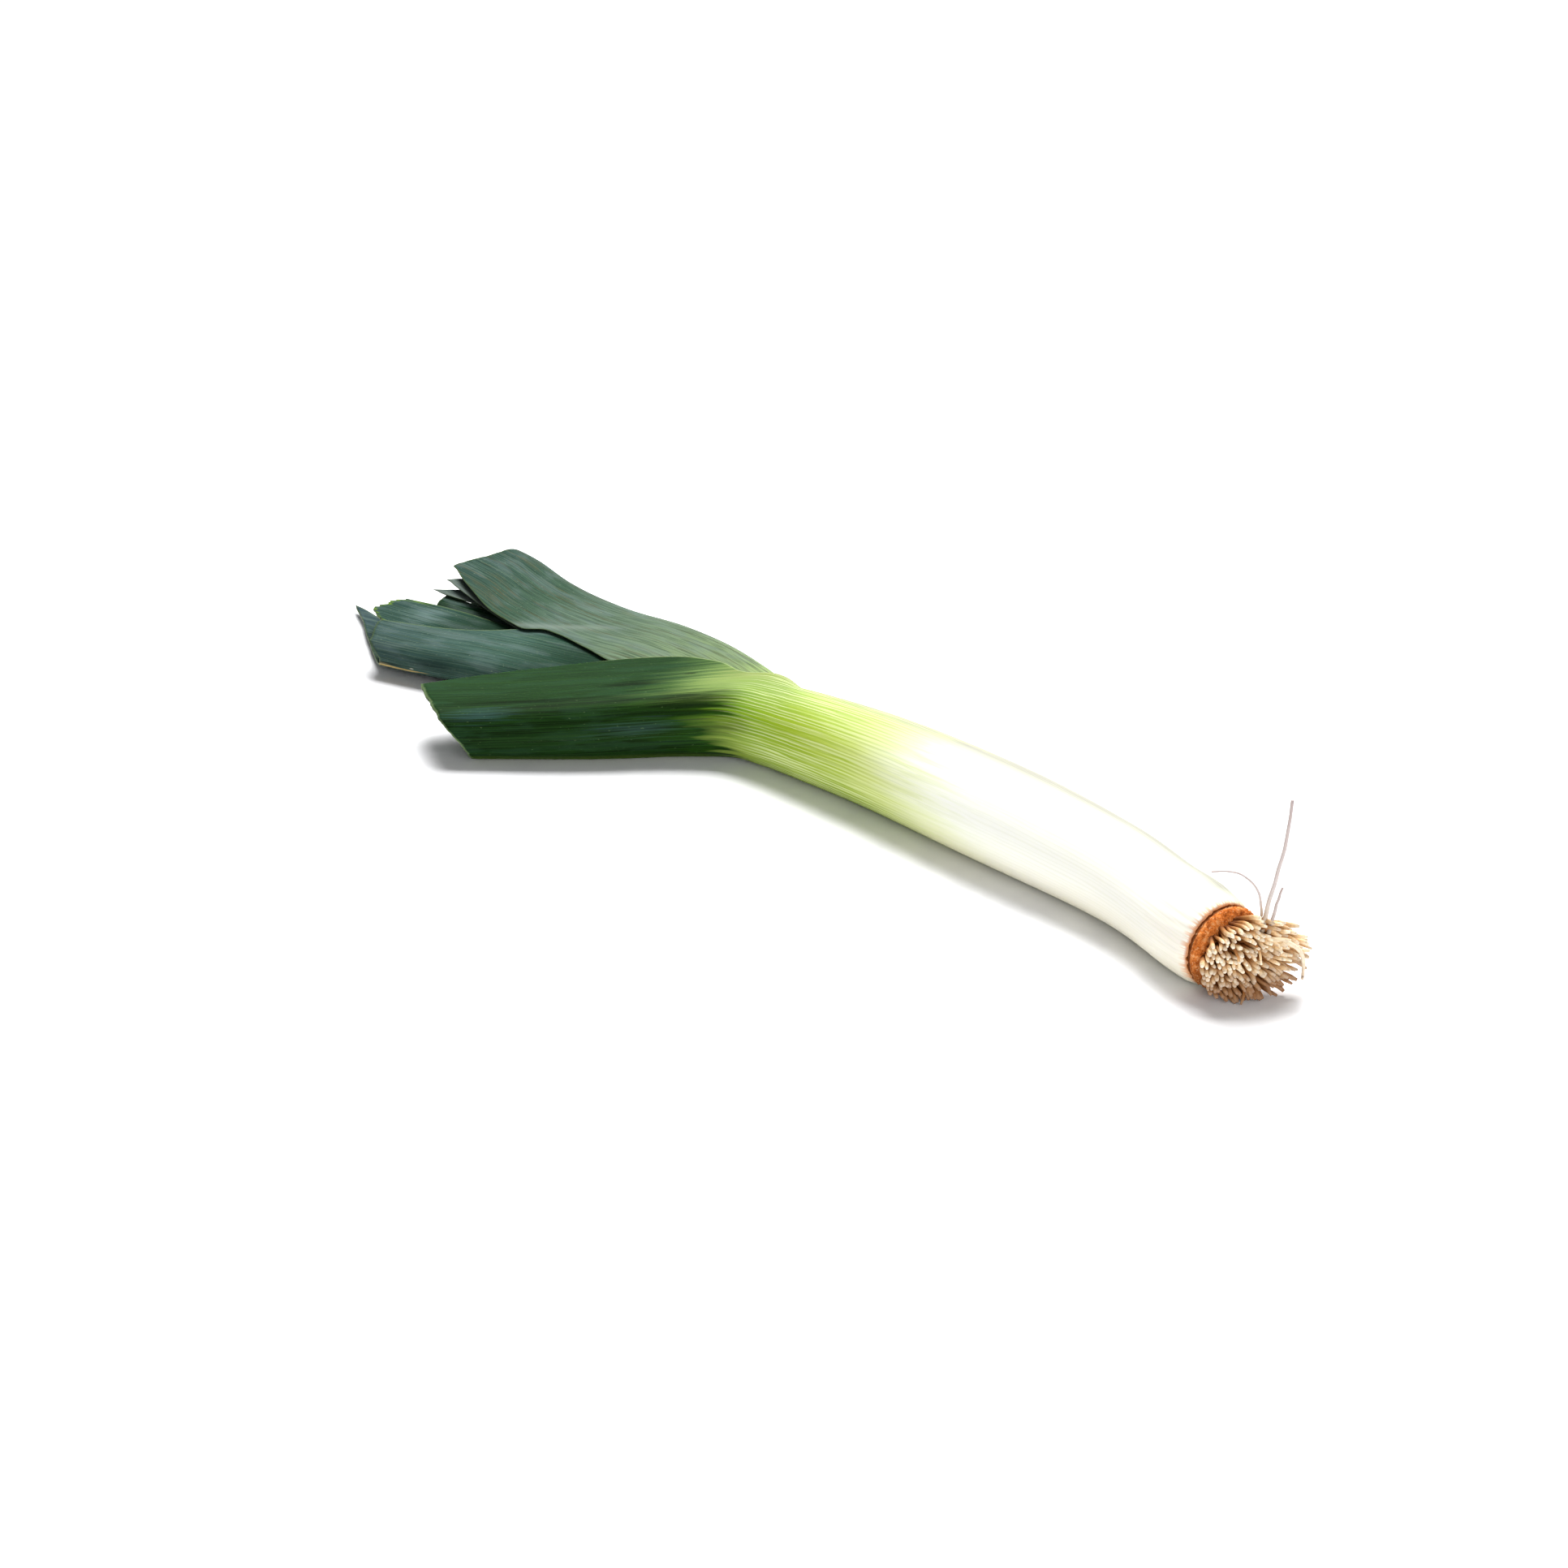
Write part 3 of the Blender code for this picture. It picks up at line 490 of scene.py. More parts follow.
def add_strand(bm, template, route, radii, tint):
    """Bends one rod along a route of points, with a radius at each of them."""
    before = len(bm.verts)
    bm.from_mesh(template)
    bm.verts.ensure_lookup_table()
    along_layer = bm.verts.layers.float["along"]
    tint_layer = bm.verts.layers.float["tint"]
    route = np.array(route)
    steps = np.linspace(0, 1, len(route))
    for vertex in bm.verts[before:]:
        t = min(max(vertex.co.z, 0.0), 1.0)
        centre = Vector([np.interp(t, steps, route[:, k]) for k in range(3)])
        ahead = Vector([np.interp(t + 0.05, steps, route[:, k]) for k in range(3)])
        behind = Vector([np.interp(t - 0.05, steps, route[:, k]) for k in range(3)])
        turn = (ahead - behind).to_track_quat("Z", "Y")
        radius = np.interp(t, steps, radii)
        vertex.co = centre + turn @ Vector((vertex.co.x * radius, vertex.co.y * radius, 0))
        vertex.co.z = max(vertex.co.z, ROOT_LIFT)
        vertex[along_layer] = t
        vertex[tint_layer] = tint


def strand_mesh():
    """Empty bmesh with the values that a root's finish reads."""
    bm = bmesh.new()
    bm.verts.layers.float.new("along")
    bm.verts.layers.float.new("tint")
    return bm


def curve_through(points, count):
    """Points along the smooth curve through a few points."""
    line = np.array(points)
    along = np.concatenate([[0.0], np.cumsum(np.linalg.norm(np.diff(line, axis=0), axis=1))])
    at = np.linspace(0, along[-1], count)
    return np.transpose([smooth(list(zip(along, line[:, axis])), at) for axis in range(3)])


def tuft_line(ratio, angle, draw):
    """Foot and tip of one root of the tuft, as distances out, to the back and up."""
    back, up = math.cos(angle), math.sin(angle)
    aside = math.radians(ROOT_SPREAD * ratio * back + draw.uniform(-ROOT_SCATTER, ROOT_SCATTER))
    climb = math.radians(ROOT_RISE * ratio * up - ROOT_DROOP + draw.uniform(-ROOT_SCATTER, ROOT_SCATTER))
    direction = np.array([1.0, math.tan(aside), math.tan(climb)])
    foot = np.array([CORE_WALL + CORE_DOME * (1 - ratio ** 2), ratio * CORE_RADIUS * back,
                     ratio * CORE_RADIUS * up - CORE_LOW])
    direction[1] += math.radians(ROOT_GATHER) * ripple(ROOT_CLUMP, foot[1], foot[2], 0.0)
    direction[2] += math.radians(ROOT_GATHER) * ripple(ROOT_CLUMP, foot[1], foot[2], 0.1)
    direction /= np.linalg.norm(direction)
    share = (0.5 + 0.5 * ratio * back) ** 1.5
    length = ROOT_SHORTEST + (ROOT_LONGEST - ROOT_SHORTEST) * share * draw.uniform(ROOT_SHORTENED, 1.0)
    tip = foot + direction * length
    tip[2] = max(tip[2], ROOT_CLEARANCE - middle_height(ROOT_END))
    return foot - direction * ROOT_SUNK, tip


def add_cut_roots(finish):
    """The tuft of cut roots, each a bent rod with a blunt end, and a few loose ones that hang over it."""
    draw = random.Random(SEED)
    template = strand_template(ROOT_SIDES, ROOT_ROWS)
    bm = strand_mesh()
    for i in range(ROOT_COUNT):
        ratio = math.sqrt((i + 0.5) / ROOT_COUNT)
        foot, tip = tuft_line(ratio, i * GOLDEN_ANGLE, draw)
        length = np.linalg.norm(tip - foot)
        bends = [np.array([draw.uniform(-1, 1) for _ in range(3)]) * length * ROOT_BEND
                 for _ in range(2)]
        sag = np.array([0.0, 0.0, length * ROOT_SAG])
        knots = [foot, foot + (tip - foot) * 0.35 + bends[0] + sag,
                 foot + (tip - foot) * 0.7 + bends[1] + sag, tip]
        route = [root_place(*at) for at in curve_through(knots, len(ROOT_PROFILE))]
        radii = ROOT_RADIUS * draw.uniform(*ROOT_GIRTH) * ROOT_PROFILE
        add_strand(bm, template, route, radii, draw.random())
    narrowing = np.linspace(1.0, LOOSE_TAPER, len(ROOT_PROFILE))
    for points in LOOSE_ROOTS:
        route = [root_place(*at) for at in curve_through(points, len(narrowing))]
        add_strand(bm, template, route, ROOT_RADIUS * narrowing, LOOSE_TINT)
    bpy.data.meshes.remove(template)
    return piece("cut_roots", bm, [finish], "roots")


def add_long_root(name, finish):
    """One long root, tapered, with the slight kinks of a dried root."""
    radius, taper, points = LONG_ROOTS[name]
    draw = random.Random(name)
    template = strand_template(LONG_SIDES, LONG_ROWS)
    bm = strand_mesh()
    route = curve_through(points, LONG_POINTS)
    kinks = np.array([[draw.uniform(-1, 1) for _ in range(3)] for _ in range(KINK_COUNT)]) * KINK
    kinks[0] = kinks[-1] = 0
    at = np.linspace(0, KINK_COUNT - 1, LONG_POINTS)
    route += np.transpose([smooth(list(enumerate(kinks[:, k])), at) for k in range(3)])
    girth = [1 - taper * t + GIRTH_SWELL * ripple(1.0, t * 14, radius * 9000)
             for t in np.linspace(0, 1, LONG_POINTS)]
    add_strand(bm, template, [root_place(*p) for p in route], radius * np.array(girth), draw.random())
    bpy.data.meshes.remove(template)
    return piece("fine_" + name, bm, [finish], name)


def add_corky_ring(finish):
    """The root plate: a turned button with a groove by the sheath, a flaky rim and a domed face."""
    draw = random.Random(SEED)
    bm = bmesh.new()
    line = [bm.verts.new((radius * MM, 0, out * MM)) for radius, out in RING_PROFILE]
    edges = [bm.edges.new(pair) for pair in zip(line, line[1:])]
    bmesh.ops.spin(bm, geom=line + edges, axis=(0, 0, 1), cent=(0, 0, 0), steps=RING_STEPS,
                   angle=2 * math.pi, use_merge=True)
    bmesh.ops.remove_doubles(bm, verts=bm.verts, dist=0.00001)
    bmesh.ops.recalc_face_normals(bm, faces=bm.faces)
    # Groove: the share of painted shade at each point, deepest in the groove by the sheath and patchy.
    groove = bm.verts.layers.float.new("groove")
    for vertex in bm.verts:
        x, y, out = vertex.co
        radius = math.hypot(x, y)
        vertex[groove] = max(0.0, min(1.0, (GROOVE_TOP - out) / GROOVE_DEPTH))
        if out > 0:
            vertex[groove] += 0.5 * ripple(GROOVE_PATCH, x, y, out)
        if radius > RIM_FROM:
            rough = sum(height * ripple(size, x, y, out) for size, height in RIM_CRUMBS)
            rough += draw.uniform(-RIM_GRIT, RIM_GRIT)
            scale = 1 + rough * MM / radius
            vertex.co = (x * scale, y * scale, out + rough * RIM_OUT * MM)
    for vertex in bm.verts:
        vertex.co = root_place(vertex.co.z, vertex.co.x, vertex.co.y)
        vertex.co.z = max(vertex.co.z, RING_LIFT)
    bmesh.ops.recalc_face_normals(bm, faces=bm.faces)
    return piece("corky_ring", bm, [finish], "root_plate")


# Finishes

def to_linear(hex_colour):
    """Linear red, green, blue and alpha of an sRGB hex colour."""
    parts = [int(hex_colour[i:i + 2], 16) / 255 for i in (1, 3, 5)]
    return [c / 12.92 if c <= 0.04045 else ((c + 0.055) / 1.055) ** 2.4 for c in parts] + [1.0]


def add(tree, kind, inputs=None, stops=None, **settings):
    """Adds a node. An input takes a value or the output that feeds it, and stops are a ramp's colours."""
    node = tree.nodes.new("ShaderNode" + kind)
    for key, value in settings.items():
        setattr(node, key, value)
    for key, value in (inputs or {}).items():
        if isinstance(value, bpy.types.NodeSocket):
            tree.links.new(value, node.inputs[key])
        else:
            node.inputs[key].default_value = value
    if stops:
        elements = node.color_ramp.elements
        while len(elements) < len(stops):
            elements.new(1.0)
        for element, (position, colour) in zip(elements, stops):
            element.position = position
            element.color = to_linear(colour)
    return node


def new_material(name, sockets):
    """Material with its shader's constant sockets set, its nodes and its shader."""
    made = bpy.data.materials.new(name)
    made.use_nodes = True
    shader = made.node_tree.nodes["Principled BSDF"]
    for key, value in sockets.items():
        shader.inputs[key].default_value = value
    return made, made.node_tree, shader


# Streaks and patches on a leaf: their length along it and width across it in millimetres, and their
# detail. Real veins lie about 0.5 mm apart, too fine to show, so their ribs are drawn 1.25 mm apart.
LEAF_PATTERNS = {
    "bands": (30, 1.5, 4.0),
    "streaks": (20, 0.7, 3.0),
    "veins": (120, 0.42, 1.0),
    "patches": (22, 6.0, 4.0),
    "mottle": (1.8, 0.8, 3.0),
    "drift": (36, 2.4, 4.0),
}
RIB_SPACING = 1.25 * MM
RIB_WAVER = 14.0
WAVE_PERIOD = math.pi / 10  # of a wave texture whose scale is 1
RAMP_END = 0.45
SLANT_HEIGHT = 0.032
SLANT_SHIFT = 0.016
WANDER_SHIFT = 0.006
MIX_BELOW, MIX_ABOVE, MIXED = 6, 7, 2  # a mix node's sockets for colours

# Grains a metre: cut flesh 1.1 mm, cork crumbs 2 mm, cork dust 0.7 mm, root skin 0.9 mm, board 17 mm.
FLESH_GRAINS = 900.0
CORK_CRUMBS = 520.0
CORK_DUST = 1500.0
ROOT_GRAINS = 1100.0
BOARD_GRAINS = 60.0


def leaf_places(tree, marks, slant):
    """Where a point lies on its leaf, the streaks and patches there, and how far it is from each mark."""
    value = {key: add(tree, "Attribute", attribute_name=key).outputs["Fac"]
             for key in ("station", "across", "margin", "cut")}
    value["height"] = add(tree, "SeparateXYZ", {0: add(tree, "TexCoord").outputs["Object"]}).outputs["Z"]
    spread = add(tree, "UVMap", uv_map="spread").outputs[0]
    for key, (length, width, detail) in LEAF_PATTERNS.items():
        scale = (1 / (length * MM), 1 / (width * MM), 1.0)
        stretched = add(tree, "Mapping", {"Vector": spread, "Scale": scale}).outputs[0]
        value[key] = add(tree, "TexNoise", {"Vector": stretched, "Scale": 1.0, "Detail": detail},
                         noise_dimensions="2D").outputs[0]
    scale = (RIB_WAVER, WAVE_PERIOD / RIB_SPACING, 1.0)
    stretched = add(tree, "Mapping", {"Vector": spread, "Scale": scale}).outputs[0]
    ribs = add(tree, "TexWave", {"Vector": stretched, "Scale": 1.0, "Distortion": 5.0, "Detail": 2.0,
                                 "Detail Scale": 1.6}, bands_direction="Y").outputs["Fac"]
    uneven = add(tree, "Math", {0: value["veins"], 1: value["drift"]}, operation="MULTIPLY").outputs[0]
    value["ribs"] = add(tree, "Math", {0: ribs, 1: uneven}, operation="MULTIPLY").outputs[0]

    # The colour changes run further towards the roots on the underside, and further along some veins; in
    # part this is painted light and shade, paler on the lit top and greener on the shaded underside.
    lean = SLANT_SHIFT * slant
    fall = add(tree, "MapRange", {"Value": value["height"], "From Min": 0.0, "From Max": SLANT_HEIGHT,
                                  "To Min": lean, "To Max": -lean}).outputs[0]
    wander = add(tree, "MapRange", {"Value": value["drift"], "From Min": 0.3, "From Max": 0.7,
                                    "To Min": -WANDER_SHIFT, "To Max": WANDER_SHIFT}).outputs[0]
    shift = add(tree, "Math", {0: fall, 1: wander}, operation="ADD").outputs[0]
    value["where"] = add(tree, "Math", {0: value["station"], 1: shift}, operation="ADD").outputs[0]
    nearer = add(tree, "Math", {0: value["margin"], 1: value["cut"]}, operation="MINIMUM")
    value["edge"] = nearer.outputs[0]

    # Distance from the crease of leaf 2, which places a painted highlight along its ridge.
    crossing = add(tree, "VectorMath", {0: spread, 1: (-CREASE_SLOPE, 1.0, 0.0)},
                   operation="DOT_PRODUCT").outputs["Value"]
    offset = add(tree, "Math", {0: crossing, 1: -CREASE_START}, operation="ADD").outputs[0]
    value["crease"] = add(tree, "Math", {0: offset}, operation="ABSOLUTE").outputs[0]

    ragged = add(tree, "MapRange", {"Value": value["streaks"], "From Min": 0.25, "From Max": 0.75,
                                    "To Min": -0.7, "To Max": 0.7}).outputs[0]
    for key, (station, across, length, width) in marks.items():
        local = add(tree, "Mapping", {
            "Vector": spread, "Location": (-station / length, -across / width, 0.0),
            "Scale": (1 / length, 1 / width, 0.0)}).outputs[0]
        far = add(tree, "VectorMath", {0: local}, operation="LENGTH").outputs["Value"]
        value[key] = add(tree, "Math", {0: far, 1: ragged}, operation="ADD").outputs[0]
    return value


def paint(tree, value, colour, layers):
    """Lays tones over a colour, each with its greatest share and the ranges: value, none at, all at."""
    for tone, share, ranges in layers:
        for key, none, whole in ranges:
            held = add(tree, "MapRange", {"Value": value[key], "From Min": none, "From Max": whole})
            share = add(tree, "Math", {0: held.outputs[0], 1: share}, operation="MULTIPLY").outputs[0]
        mix = add(tree, "Mix", {0: share, MIX_BELOW: colour, MIX_ABOVE: to_linear(tone)},
                  data_type="RGBA")
        colour = mix.outputs[MIXED]
    return colour


def leaf_finish(name, along, layers, marks, slant=0.0):
    """Leek leaf: fleshy green tissue with parallel veins, under a waxy bloom that greys and dulls it."""
    made, tree, shader = new_material(name, {
        "IOR": 1.42, "Specular IOR Level": 0.05, "Subsurface Weight": 0.10,
        "Subsurface Radius": (1.0, 1.0, 0.5), "Subsurface Scale": 0.0012})
    value = leaf_places(tree, marks, slant)
    share = add(tree, "Math", {0: value["where"], 1: RAMP_END}, operation="DIVIDE").outputs[0]
    places = [(station / RAMP_END, colour) for station, colour in along]
    base = add(tree, "ValToRGB", {"Fac": share}, stops=places).outputs[0]
    tree.links.new(paint(tree, value, base, layers), shader.inputs["Base Color"])
    rough = add(tree, "MapRange", {"Value": value["patches"], "From Min": 0.35, "From Max": 0.65,
                                   "To Min": 0.46, "To Max": 0.62}).outputs[0]
    tree.links.new(rough, shader.inputs["Roughness"])

    # Veins and streaks stand just proud.
    relief = add(tree, "Math", {0: value["veins"], 1: value["streaks"]}, operation="ADD").outputs[0]
    bump = add(tree, "Bump", {"Strength": 0.4, "Distance": 0.0001, "Height": relief}).outputs[0]
    tree.links.new(bump, shader.inputs["Normal"])
    return made


def cut_finish():
    """Cut and outer edges of a leaf: thin green tissue, pale and moist where the knife went through."""
    made, tree, shader = new_material("leek_leaf_edge", {
        "Roughness": 0.5, "IOR": 1.42, "Specular IOR Level": 0.22})
    spot = add(tree, "TexCoord").outputs["Object"]
    grain = add(tree, "TexNoise", {"Vector": spot, "Scale": FLESH_GRAINS, "Detail": 2.0}).outputs[0]
    value = {key: add(tree, "Attribute", attribute_name=key).outputs["Fac"] for key in ("station", "cut")}
    value["grain"] = grain
    base = add(tree, "ValToRGB", {"Fac": grain}, stops=[(0.3, "#1f3018"), (0.7, "#38502c")]).outputs[0]
    tones = [("#6f8052", 0.75, [("cut", 0.0012, 0.0004), ("grain", 0.35, 0.6)]),
             ("#dfe5b8", 1.0, [("station", 0.250, 0.225)]), ("#a8622c", 1.0, [("station", 0.012, 0.007)])]
    tree.links.new(paint(tree, value, base, tones), shader.inputs["Base Color"])
    return made


def cork_finish():
    """Corky root plate: dry, crumbling orange-brown skin, darker brown towards the bottom, with painted
    shade in its groove.
    """
    made, tree, shader = new_material("corky_tissue", {
        "Roughness": 0.85, "IOR": 1.45, "Specular IOR Level": 0.2})
    spot = add(tree, "TexCoord").outputs["Object"]
    coarse = add(tree, "TexNoise", {"Vector": spot, "Scale": CORK_CRUMBS, "Detail": 5.0,
                                    "Roughness": 0.65}).outputs[0]
    fine = add(tree, "TexNoise", {"Vector": spot, "Scale": CORK_DUST, "Detail": 3.0}).outputs[0]
    base = add(tree, "ValToRGB", {"Fac": coarse}, stops=[
        (0.30, "#7c3c12"), (0.42, "#b65e1f"), (0.54, "#d97b35"), (0.66, "#eba264"),
        (0.80, "#f3cda2")]).outputs[0]
    value = {"groove": add(tree, "Attribute", attribute_name="groove").outputs["Fac"], "fine": fine,
             "height": add(tree, "SeparateXYZ", {0: spot}).outputs["Z"]}
    # Darker brown towards the bottom, painted shade in the groove, and pale and dark crumbs.
    tones = [("#7d4a1e", 0.75, [("height", 0.016, 0.006)]), ("#5e3212", 0.85, [("groove", 0.25, 0.9)]),
             ("#f0c08e", 0.55, [("fine", 0.60, 0.68)]), ("#7a3c12", 0.55, [("fine", 0.42, 0.34)])]
    tree.links.new(paint(tree, value, base, tones), shader.inputs["Base Color"])
    relief = add(tree, "Math", {0: coarse, 1: fine}, operation="ADD").outputs[0]
    bump = add(tree, "Bump", {"Strength": 0.9, "Distance": 0.0004, "Height": relief}).outputs[0]
    tree.links.new(bump, shader.inputs["Normal"])
    return made


def root_finish(name, stops, soil_and_shade, most):
    """Dried root: papery cream skin, browner towards the plate, with soil left in its creases and painted
    shade low down.
    """
    made, tree, shader = new_material(name, {
        "Roughness": 0.65, "IOR": 1.45, "Specular IOR Level": 0.25, "Subsurface Weight": 0.1,
        "Subsurface Radius": (1.0, 0.7, 0.4), "Subsurface Scale": 0.0006})
    spot = add(tree, "TexCoord").outputs["Object"]
    value = {key: add(tree, "Attribute", attribute_name=key).outputs["Fac"] for key in ("along", "tint")}
    grain = add(tree, "TexNoise", {"Vector": spot, "Scale": ROOT_GRAINS, "Detail": 3.0})
    value["grain"] = grain.outputs[0]
    value["height"] = add(tree, "SeparateXYZ", {0: spot}).outputs["Z"]
    base = add(tree, "ValToRGB", {"Fac": value["along"]}, stops=stops).outputs[0]
    # Soil on some roots and in the grain, and painted shade on the lower roots, all in one brown.
    tones = [(soil_and_shade, most, [("tint", 0.45, 1.0)]), (soil_and_shade, most, [("grain", 0.50, 0.72)]),
             (soil_and_shade, 0.8, [("height", 0.014, 0.005)])]
    tree.links.new(paint(tree, value, base, tones), shader.inputs["Base Color"])
    bump = add(tree, "Bump", {"Strength": 0.5, "Distance": 0.00012, "Height": value["grain"]}).outputs[0]
    tree.links.new(bump, shader.inputs["Normal"])
    return made


# Colours along each leaf, by station, and the tones that lie over them.
OUTER_ALONG = [(0.0, "#f6efe2"), (0.020, "#f8f6ec"), (0.110, "#f9faf0"), (0.128, "#f2f5dc"),
               (0.142, "#e5ebbc"), (0.157, "#d0db86"), (0.172, "#b7ca58"), (0.190, "#9fb636"),
               (0.210, "#8aa928"), (0.222, "#6a8f20"), (0.232, "#386010"), (0.243, "#1d3e09"),
               (0.262, "#132f09"), (0.300, "#122d0d"), (0.350, "#18351c")]

# Single marks: station, distance from the keel, and half their length and width.
OUTER_MARKS = {
    "dark_1": (0.243, 0.012, 0.011, 0.0055), "dark_2": (0.270, 0.032, 0.010, 0.0030),
    "dark_3": (0.300, 0.0195, 0.022, 0.0016), "bloom_1": (0.308, 0.0115, 0.010, 0.0035),
    "bloom_2": (0.255, 0.0030, 0.012, 0.0030), "brown": (0.226, 0.0045, 0.008, 0.0030),
    "nick": (0.256, 0.0386, 0.0022, 0.0006),
}
OUTER_LAYERS = [
    ("#0a1c05", 0.80, [("bands", 0.51, 0.58), ("where", 0.222, 0.250)]),
    ("#0b1e06", 0.60, [("streaks", 0.52, 0.60), ("where", 0.222, 0.250)]),
    ("#86a860", 0.55, [("across", 0.010, 0.032), ("where", 0.262, 0.240)]),
    ("#7c9640", 0.45, [("across", 0.010, 0.026), ("where", 0.192, 0.206), ("where", 0.244, 0.232)]),
    ("#798c50", 0.85, [("across", 0.011, 0.024), ("where", 0.184, 0.204), ("where", 0.250, 0.234)]),
    ("#203a20", 0.55, [("across", 0.012, 0.034), ("where", 0.232, 0.256)]),
    ("#233f29", 0.40, [("patches", 0.50, 0.62), ("where", 0.230, 0.255)]),
    ("#27461c", 0.38, [("veins", 0.53, 0.62), ("where", 0.222, 0.245)]),
    ("#081604", 0.75, [("dark_1", 1.3, 0.5)]), ("#081605", 0.75, [("dark_2", 1.2, 0.4)]),
    ("#091805", 0.80, [("dark_3", 1.3, 0.5)]), ("#33504f", 0.50, [("bloom_1", 1.3, 0.3)]),
    ("#36524a", 0.45, [("bloom_2", 1.3, 0.3)]), ("#3a3114", 0.35, [("brown", 1.3, 0.3)]),
    ("#0c1407", 0.80, [("nick", 1.0, 0.7)]),
    ("#c3d07c", 0.60, [("height", 0.021, 0.008), ("station", 0.088, 0.130), ("where", 0.240, 0.225)]),
    # Painted shade on the underside of the white shank.
    ("#ddd5ba", 0.60, [("height", 0.017, 0.006), ("station", 0.165, 0.120)]),
    ("#78921c", 0.72, [("height", 0.020, 0.007), ("station", 0.130, 0.172), ("where", 0.240, 0.225)]),
    ("#828552", 0.60, [("across", 0.026, 0.036), ("station", 0.172, 0.200), ("where", 0.240, 0.225)]),
    # Painted light: the top of the shank is paler where its green begins.
    ("#f3f4ea", 0.45, [("height", 0.018, 0.031), ("station", 0.170, 0.140)]),
    ("#a3b36c", 0.55, [("across", 0.013, 0.024), ("station", 0.128, 0.160), ("station", 0.215, 0.195)]),
    # Painted shade: a grey band along the upper back of the shank.
    ("#98948a", 0.85, [("across", 0.0245, 0.0320), ("across", 0.0440, 0.0360), ("station", 0.006, 0.014),
                       ("station", 0.210, 0.180)]),
    ("#e2eab0", 0.55, [("ribs", 0.13, 0.25), ("station", 0.112, 0.165), ("where", 0.231, 0.215)]),
    ("#7c9c20", 0.32, [("ribs", 0.07, 0.02), ("station", 0.130, 0.170), ("where", 0.231, 0.215)]),
    ("#cfd994", 0.30, [("bands", 0.50, 0.60), ("station", 0.100, 0.140), ("station", 0.222, 0.200)]),
    ("#e2e3cc", 0.25, [("ribs", 0.08, 0.02), ("station", 0.130, 0.090)]),
    ("#4f6c12", 0.75, [("height", 0.0042, 0.0008), ("station", 0.225, 0.240)]),
    ("#6d8757", 0.30, [("mottle", 0.72, 0.78), ("where", 0.236, 0.250)]),
    ("#93a672", 0.55, [("margin", 0.0007, 0.0002), ("station", 0.222, 0.240), ("station", 0.300, 0.276)]),
    ("#7f9668", 0.60, [("cut", 0.0008, 0.0002)]),
    ("#c47a42", 0.85, [("station", 0.0057, 0.0049)]),
    ("#e2a878", 0.70, [("station", 0.0076, 0.0056), ("streaks", 0.47, 0.54)]),
]
INNER_ALONG = {
    "leaf_2": [(0.200, "#a9bc68"), (0.226, "#95ab66"), (0.250, "#6f8159"), (0.300, "#5a6c56"),
               (0.335, "#4b5e50"), (0.355, "#314838"), (0.410, "#283e39")],
    "leaf_3": [(0.200, "#6f9070"), (0.260, "#183524"), (0.310, "#1c3b2c"), (0.345, "#344e45"),
               (0.440, "#303f45")],
    "leaf_4": [(0.200, "#6f9070"), (0.260, "#14241b"), (0.350, "#16251f"), (0.410, "#2a3733")],
    "leaf_5": [(0.200, "#6f9070"), (0.260, "#12301b"), (0.360, "#152e20"), (0.385, "#203b32"),
               (0.420, "#2a3f3b")],
    "leaf_6": [(0.200, "#6f9070"), (0.260, "#0d1c13"), (0.350, "#101d17"), (0.410, "#2a3733")],
    "leaf_7": [(0.200, "#6f9070"), (0.300, "#061a0c"), (0.400, "#0a2a14")],
}
INNER_LAYERS = [
    ("#142a1e", 0.35, [("bands", 0.50, 0.60)]),
    ("#142a1f", 0.35, [("streaks", 0.52, 0.62)]),
    ("#616f70", 0.26, [("patches", 0.50, 0.66)]),
    ("#607460", 0.30, [("veins", 0.53, 0.63)]),
    ("#78886f", 0.35, [("mottle", 0.70, 0.76)]),
    ("#55683f", 0.50, [("edge", 0.0009, 0.0003)]),
]
EXTRA_LAYERS = {
    "leaf_2": [("#4e4a30", 0.35, [("drift", 0.53, 0.60), ("streaks", 0.44, 0.54)]),
               # Painted highlight along the crease of leaf 2.
               ("#7c867e", 0.36, [("crease", 0.0044, 0.0004), ("station", 0.306, 0.325)]),
               ("#4a4a24", 0.60, [("across", 0.0012, 0.0002)]),
               ("#6d6a52", 0.55, [("across", 0.0075, 0.0020), ("station", 0.275, 0.255)])],
    # Leaf 3: the fold mark is painted shade along its fold, and the last tone is painted shade on its
    # part nearer the neck.
    "leaf_3": [("#101a13", 0.80, [("fold", 1.1, 0.5)]), ("#b39a62", 0.90, [("dried", 1.1, 0.7)]),
               ("#a9a99a", 0.80, [("scar", 1.1, 0.5)]), ("#14231f", 0.55, [("smudge", 1.4, 0.2)]),
               ("#0f2618", 0.70, [("station", 0.338, 0.310)])],
    # Leaf 5: the bloom mark is waxy bloom with a painted highlight on it, and the dark tone is painted
    # shade on its part nearer the neck.
    "leaf_5": [("#6f8583", 0.28, [("bloom", 1.4, 0.2)]), ("#0d2415", 0.65, [("station", 0.388, 0.362)]),
               ("#64802c", 0.80, [("edge", 0.0022, 0.0009), ("streaks", 0.44, 0.52),
                                  ("station", 0.394, 0.401)])],
    # Painted shade deep inside the bundle: leaf 7 is darker away from its margin.
    "leaf_7": [("#05140a", 0.75, [("margin", 0.0030, 0.0110)])],
    # Painted light on the lit edges of leaves 4 and 6, paler near their margins.
    "leaf_4": [("#626b67", 0.60, [("margin", 0.0060, 0.0010)])],
    "leaf_6": [("#626b67", 0.60, [("margin", 0.0050, 0.0010)])],
}
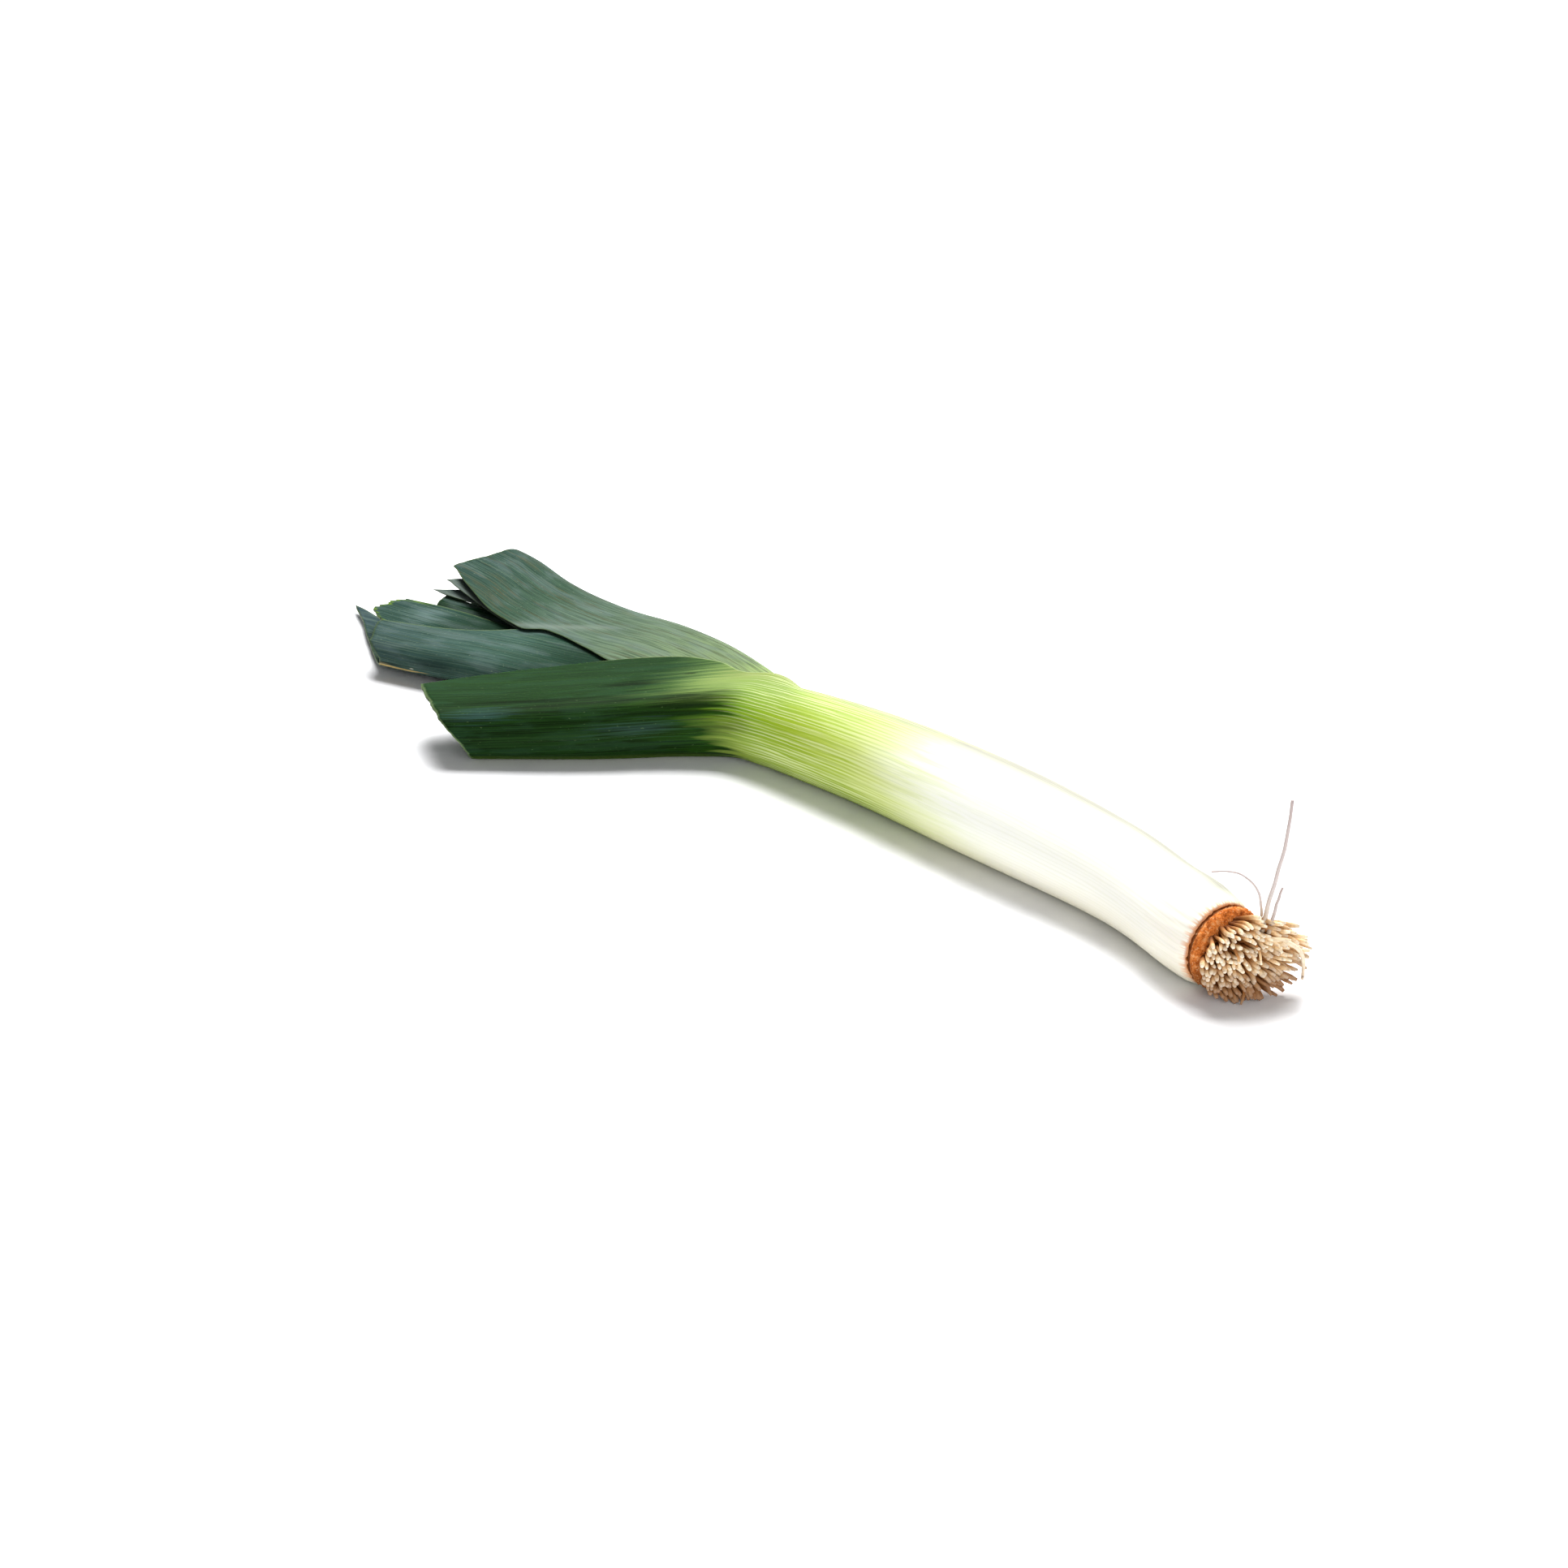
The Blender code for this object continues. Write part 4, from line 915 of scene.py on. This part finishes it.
INNER_MARKS = {
    # The fold of leaf 3 carries painted shade.
    "leaf_3": {"fold": (0.386, -0.0016, 0.014, 0.0005), "dried": (0.386, -0.0034, 0.016, 0.0010),
               "scar": (0.372, -0.0018, 0.0010, 0.00035), "smudge": (0.360, 0.0020, 0.008, 0.0035)},
    # The bloom of leaf 5 carries a painted highlight.
    "leaf_5": {"bloom": (0.392, 0.0225, 0.008, 0.0060)},
}


# Building

def add_leaves():
    """Every leaf, from the outermost with the shank's sheath to the innermost."""
    edge = cut_finish()
    outer = leaf_finish("leek_sheath_and_blade", OUTER_ALONG, OUTER_LAYERS, OUTER_MARKS, slant=0.6)
    node = "shank_and_outer_leaf"
    sheath = sheet(node, ROOT_END, SHEATH_ROWS, SHEATH_COLUMNS, sheath_relief, FRINGE)
    piece("outer_leaf", sheath, [outer, edge], node, WALL)
    for name, along in INNER_ALONG.items():
        layers = INNER_LAYERS + EXTRA_LAYERS.get(name, [])
        finish = leaf_finish("leek_blade_" + name[-1], along, layers, INNER_MARKS.get(name, {}))
        relief = creased_relief if name == "leaf_2" else blade_relief
        columns = TORN_COLUMNS if name == "leaf_5" else LEAF_COLUMNS
        blade = sheet(name, BLADE_START, LEAF_ROWS, columns, relief)
        piece("blade_" + name[-1], blade, [finish, edge], name, LEAF_THICKNESS)


def add_roots():
    """The corky plate, the tuft and the long roots."""
    add_corky_ring(cork_finish())
    # The tuft is browner towards the plate, and its darkest brown at the foot is painted shade among the
    # packed roots.
    dried = root_finish("dried_root", [(0.0, "#341b08"), (0.40, "#6f3b13"), (0.66, "#bb824a"),
                                       (0.86, "#f0d0a0"), (1.0, "#fdf1d8")], "#8c5320", 0.45)
    cream = root_finish("cream_root", [(0.0, "#e4cca4"), (0.3, "#efdfc2"), (1.0, "#f1e6d2")],
                        "#b98a58", 0.25)
    pale = root_finish("pale_long_root", [(0.0, "#d2c2aa"), (0.3, "#d0c5c0"), (1.0, "#b8a9a6")],
                       "#a8968c", 0.25)
    add_cut_roots(dried)
    for name in LONG_ROOTS:
        add_long_root(name, cream if name == "long_root_4" else pale)


def board_finish():
    """Matt white board: an even, faintly mottled and grained surface with almost no shine."""
    made, tree, shader = new_material("matt_white_board", {"Roughness": 0.9, "Specular IOR Level": 0.1})
    spot = add(tree, "TexCoord").outputs["Object"]
    grain = add(tree, "TexNoise", {"Vector": spot, "Scale": BOARD_GRAINS, "Detail": 6.0}).outputs[0]
    tone = add(tree, "ValToRGB", {"Fac": grain}, stops=[(0.35, "#f0f0f2"), (0.65, "#f7f7f8")]).outputs[0]
    tree.links.new(tone, shader.inputs["Base Color"])
    bump = add(tree, "Bump", {"Strength": 0.2, "Distance": 0.0003, "Height": grain}).outputs[0]
    tree.links.new(bump, shader.inputs["Normal"])
    return made


def add_stage():
    """Pale table, soft light from above and behind, and the camera."""
    bm = bmesh.new()
    bmesh.ops.create_grid(bm, x_segments=1, y_segments=1, size=TABLE_HALF)
    mesh = bpy.data.meshes.new("table_top")
    bm.to_mesh(mesh)
    bm.free()
    floor = bpy.data.objects.new("table_top", mesh)
    bpy.context.scene.collection.objects.link(floor)
    mesh.materials.append(board_finish())

    world = bpy.data.worlds.new("studio")
    world.use_nodes = True
    sky = world.node_tree.nodes["Background"]
    sky.inputs["Color"].default_value = (1.0, 1.0, 1.0, 1.0)
    sky.inputs["Strength"].default_value = SKY_STRENGTH
    bpy.context.scene.world = world

    for name, spot, size, power in LIGHTS:
        light = bpy.data.lights.new(name, "AREA")
        light.size = size
        light.energy = power
        lamp = bpy.data.objects.new(name, light)
        lamp.location = spot
        lamp.rotation_euler = (-lamp.location).to_track_quat("-Z", "Y").to_euler()
        bpy.context.scene.collection.objects.link(lamp)

    camera = bpy.data.cameras.new("camera")
    camera.lens = CAMERA_LENS
    camera.sensor_width = SENSOR_WIDTH
    eye = bpy.data.objects.new("camera", camera)
    azimuth, elevation = math.radians(CAMERA_AZIMUTH), math.radians(CAMERA_ELEVATION)
    level = math.cos(elevation)
    direction = Vector((level * math.sin(azimuth), -level * math.cos(azimuth), math.sin(elevation)))
    eye.location = CAMERA_TARGET + direction * CAMERA_DISTANCE
    eye.rotation_euler = (-direction).to_track_quat("-Z", "Y").to_euler()
    bpy.context.scene.collection.objects.link(eye)
    bpy.context.scene.camera = eye
    bpy.context.scene.view_settings.view_transform = "Standard"


add_stage()
add_leaves()
add_roots()
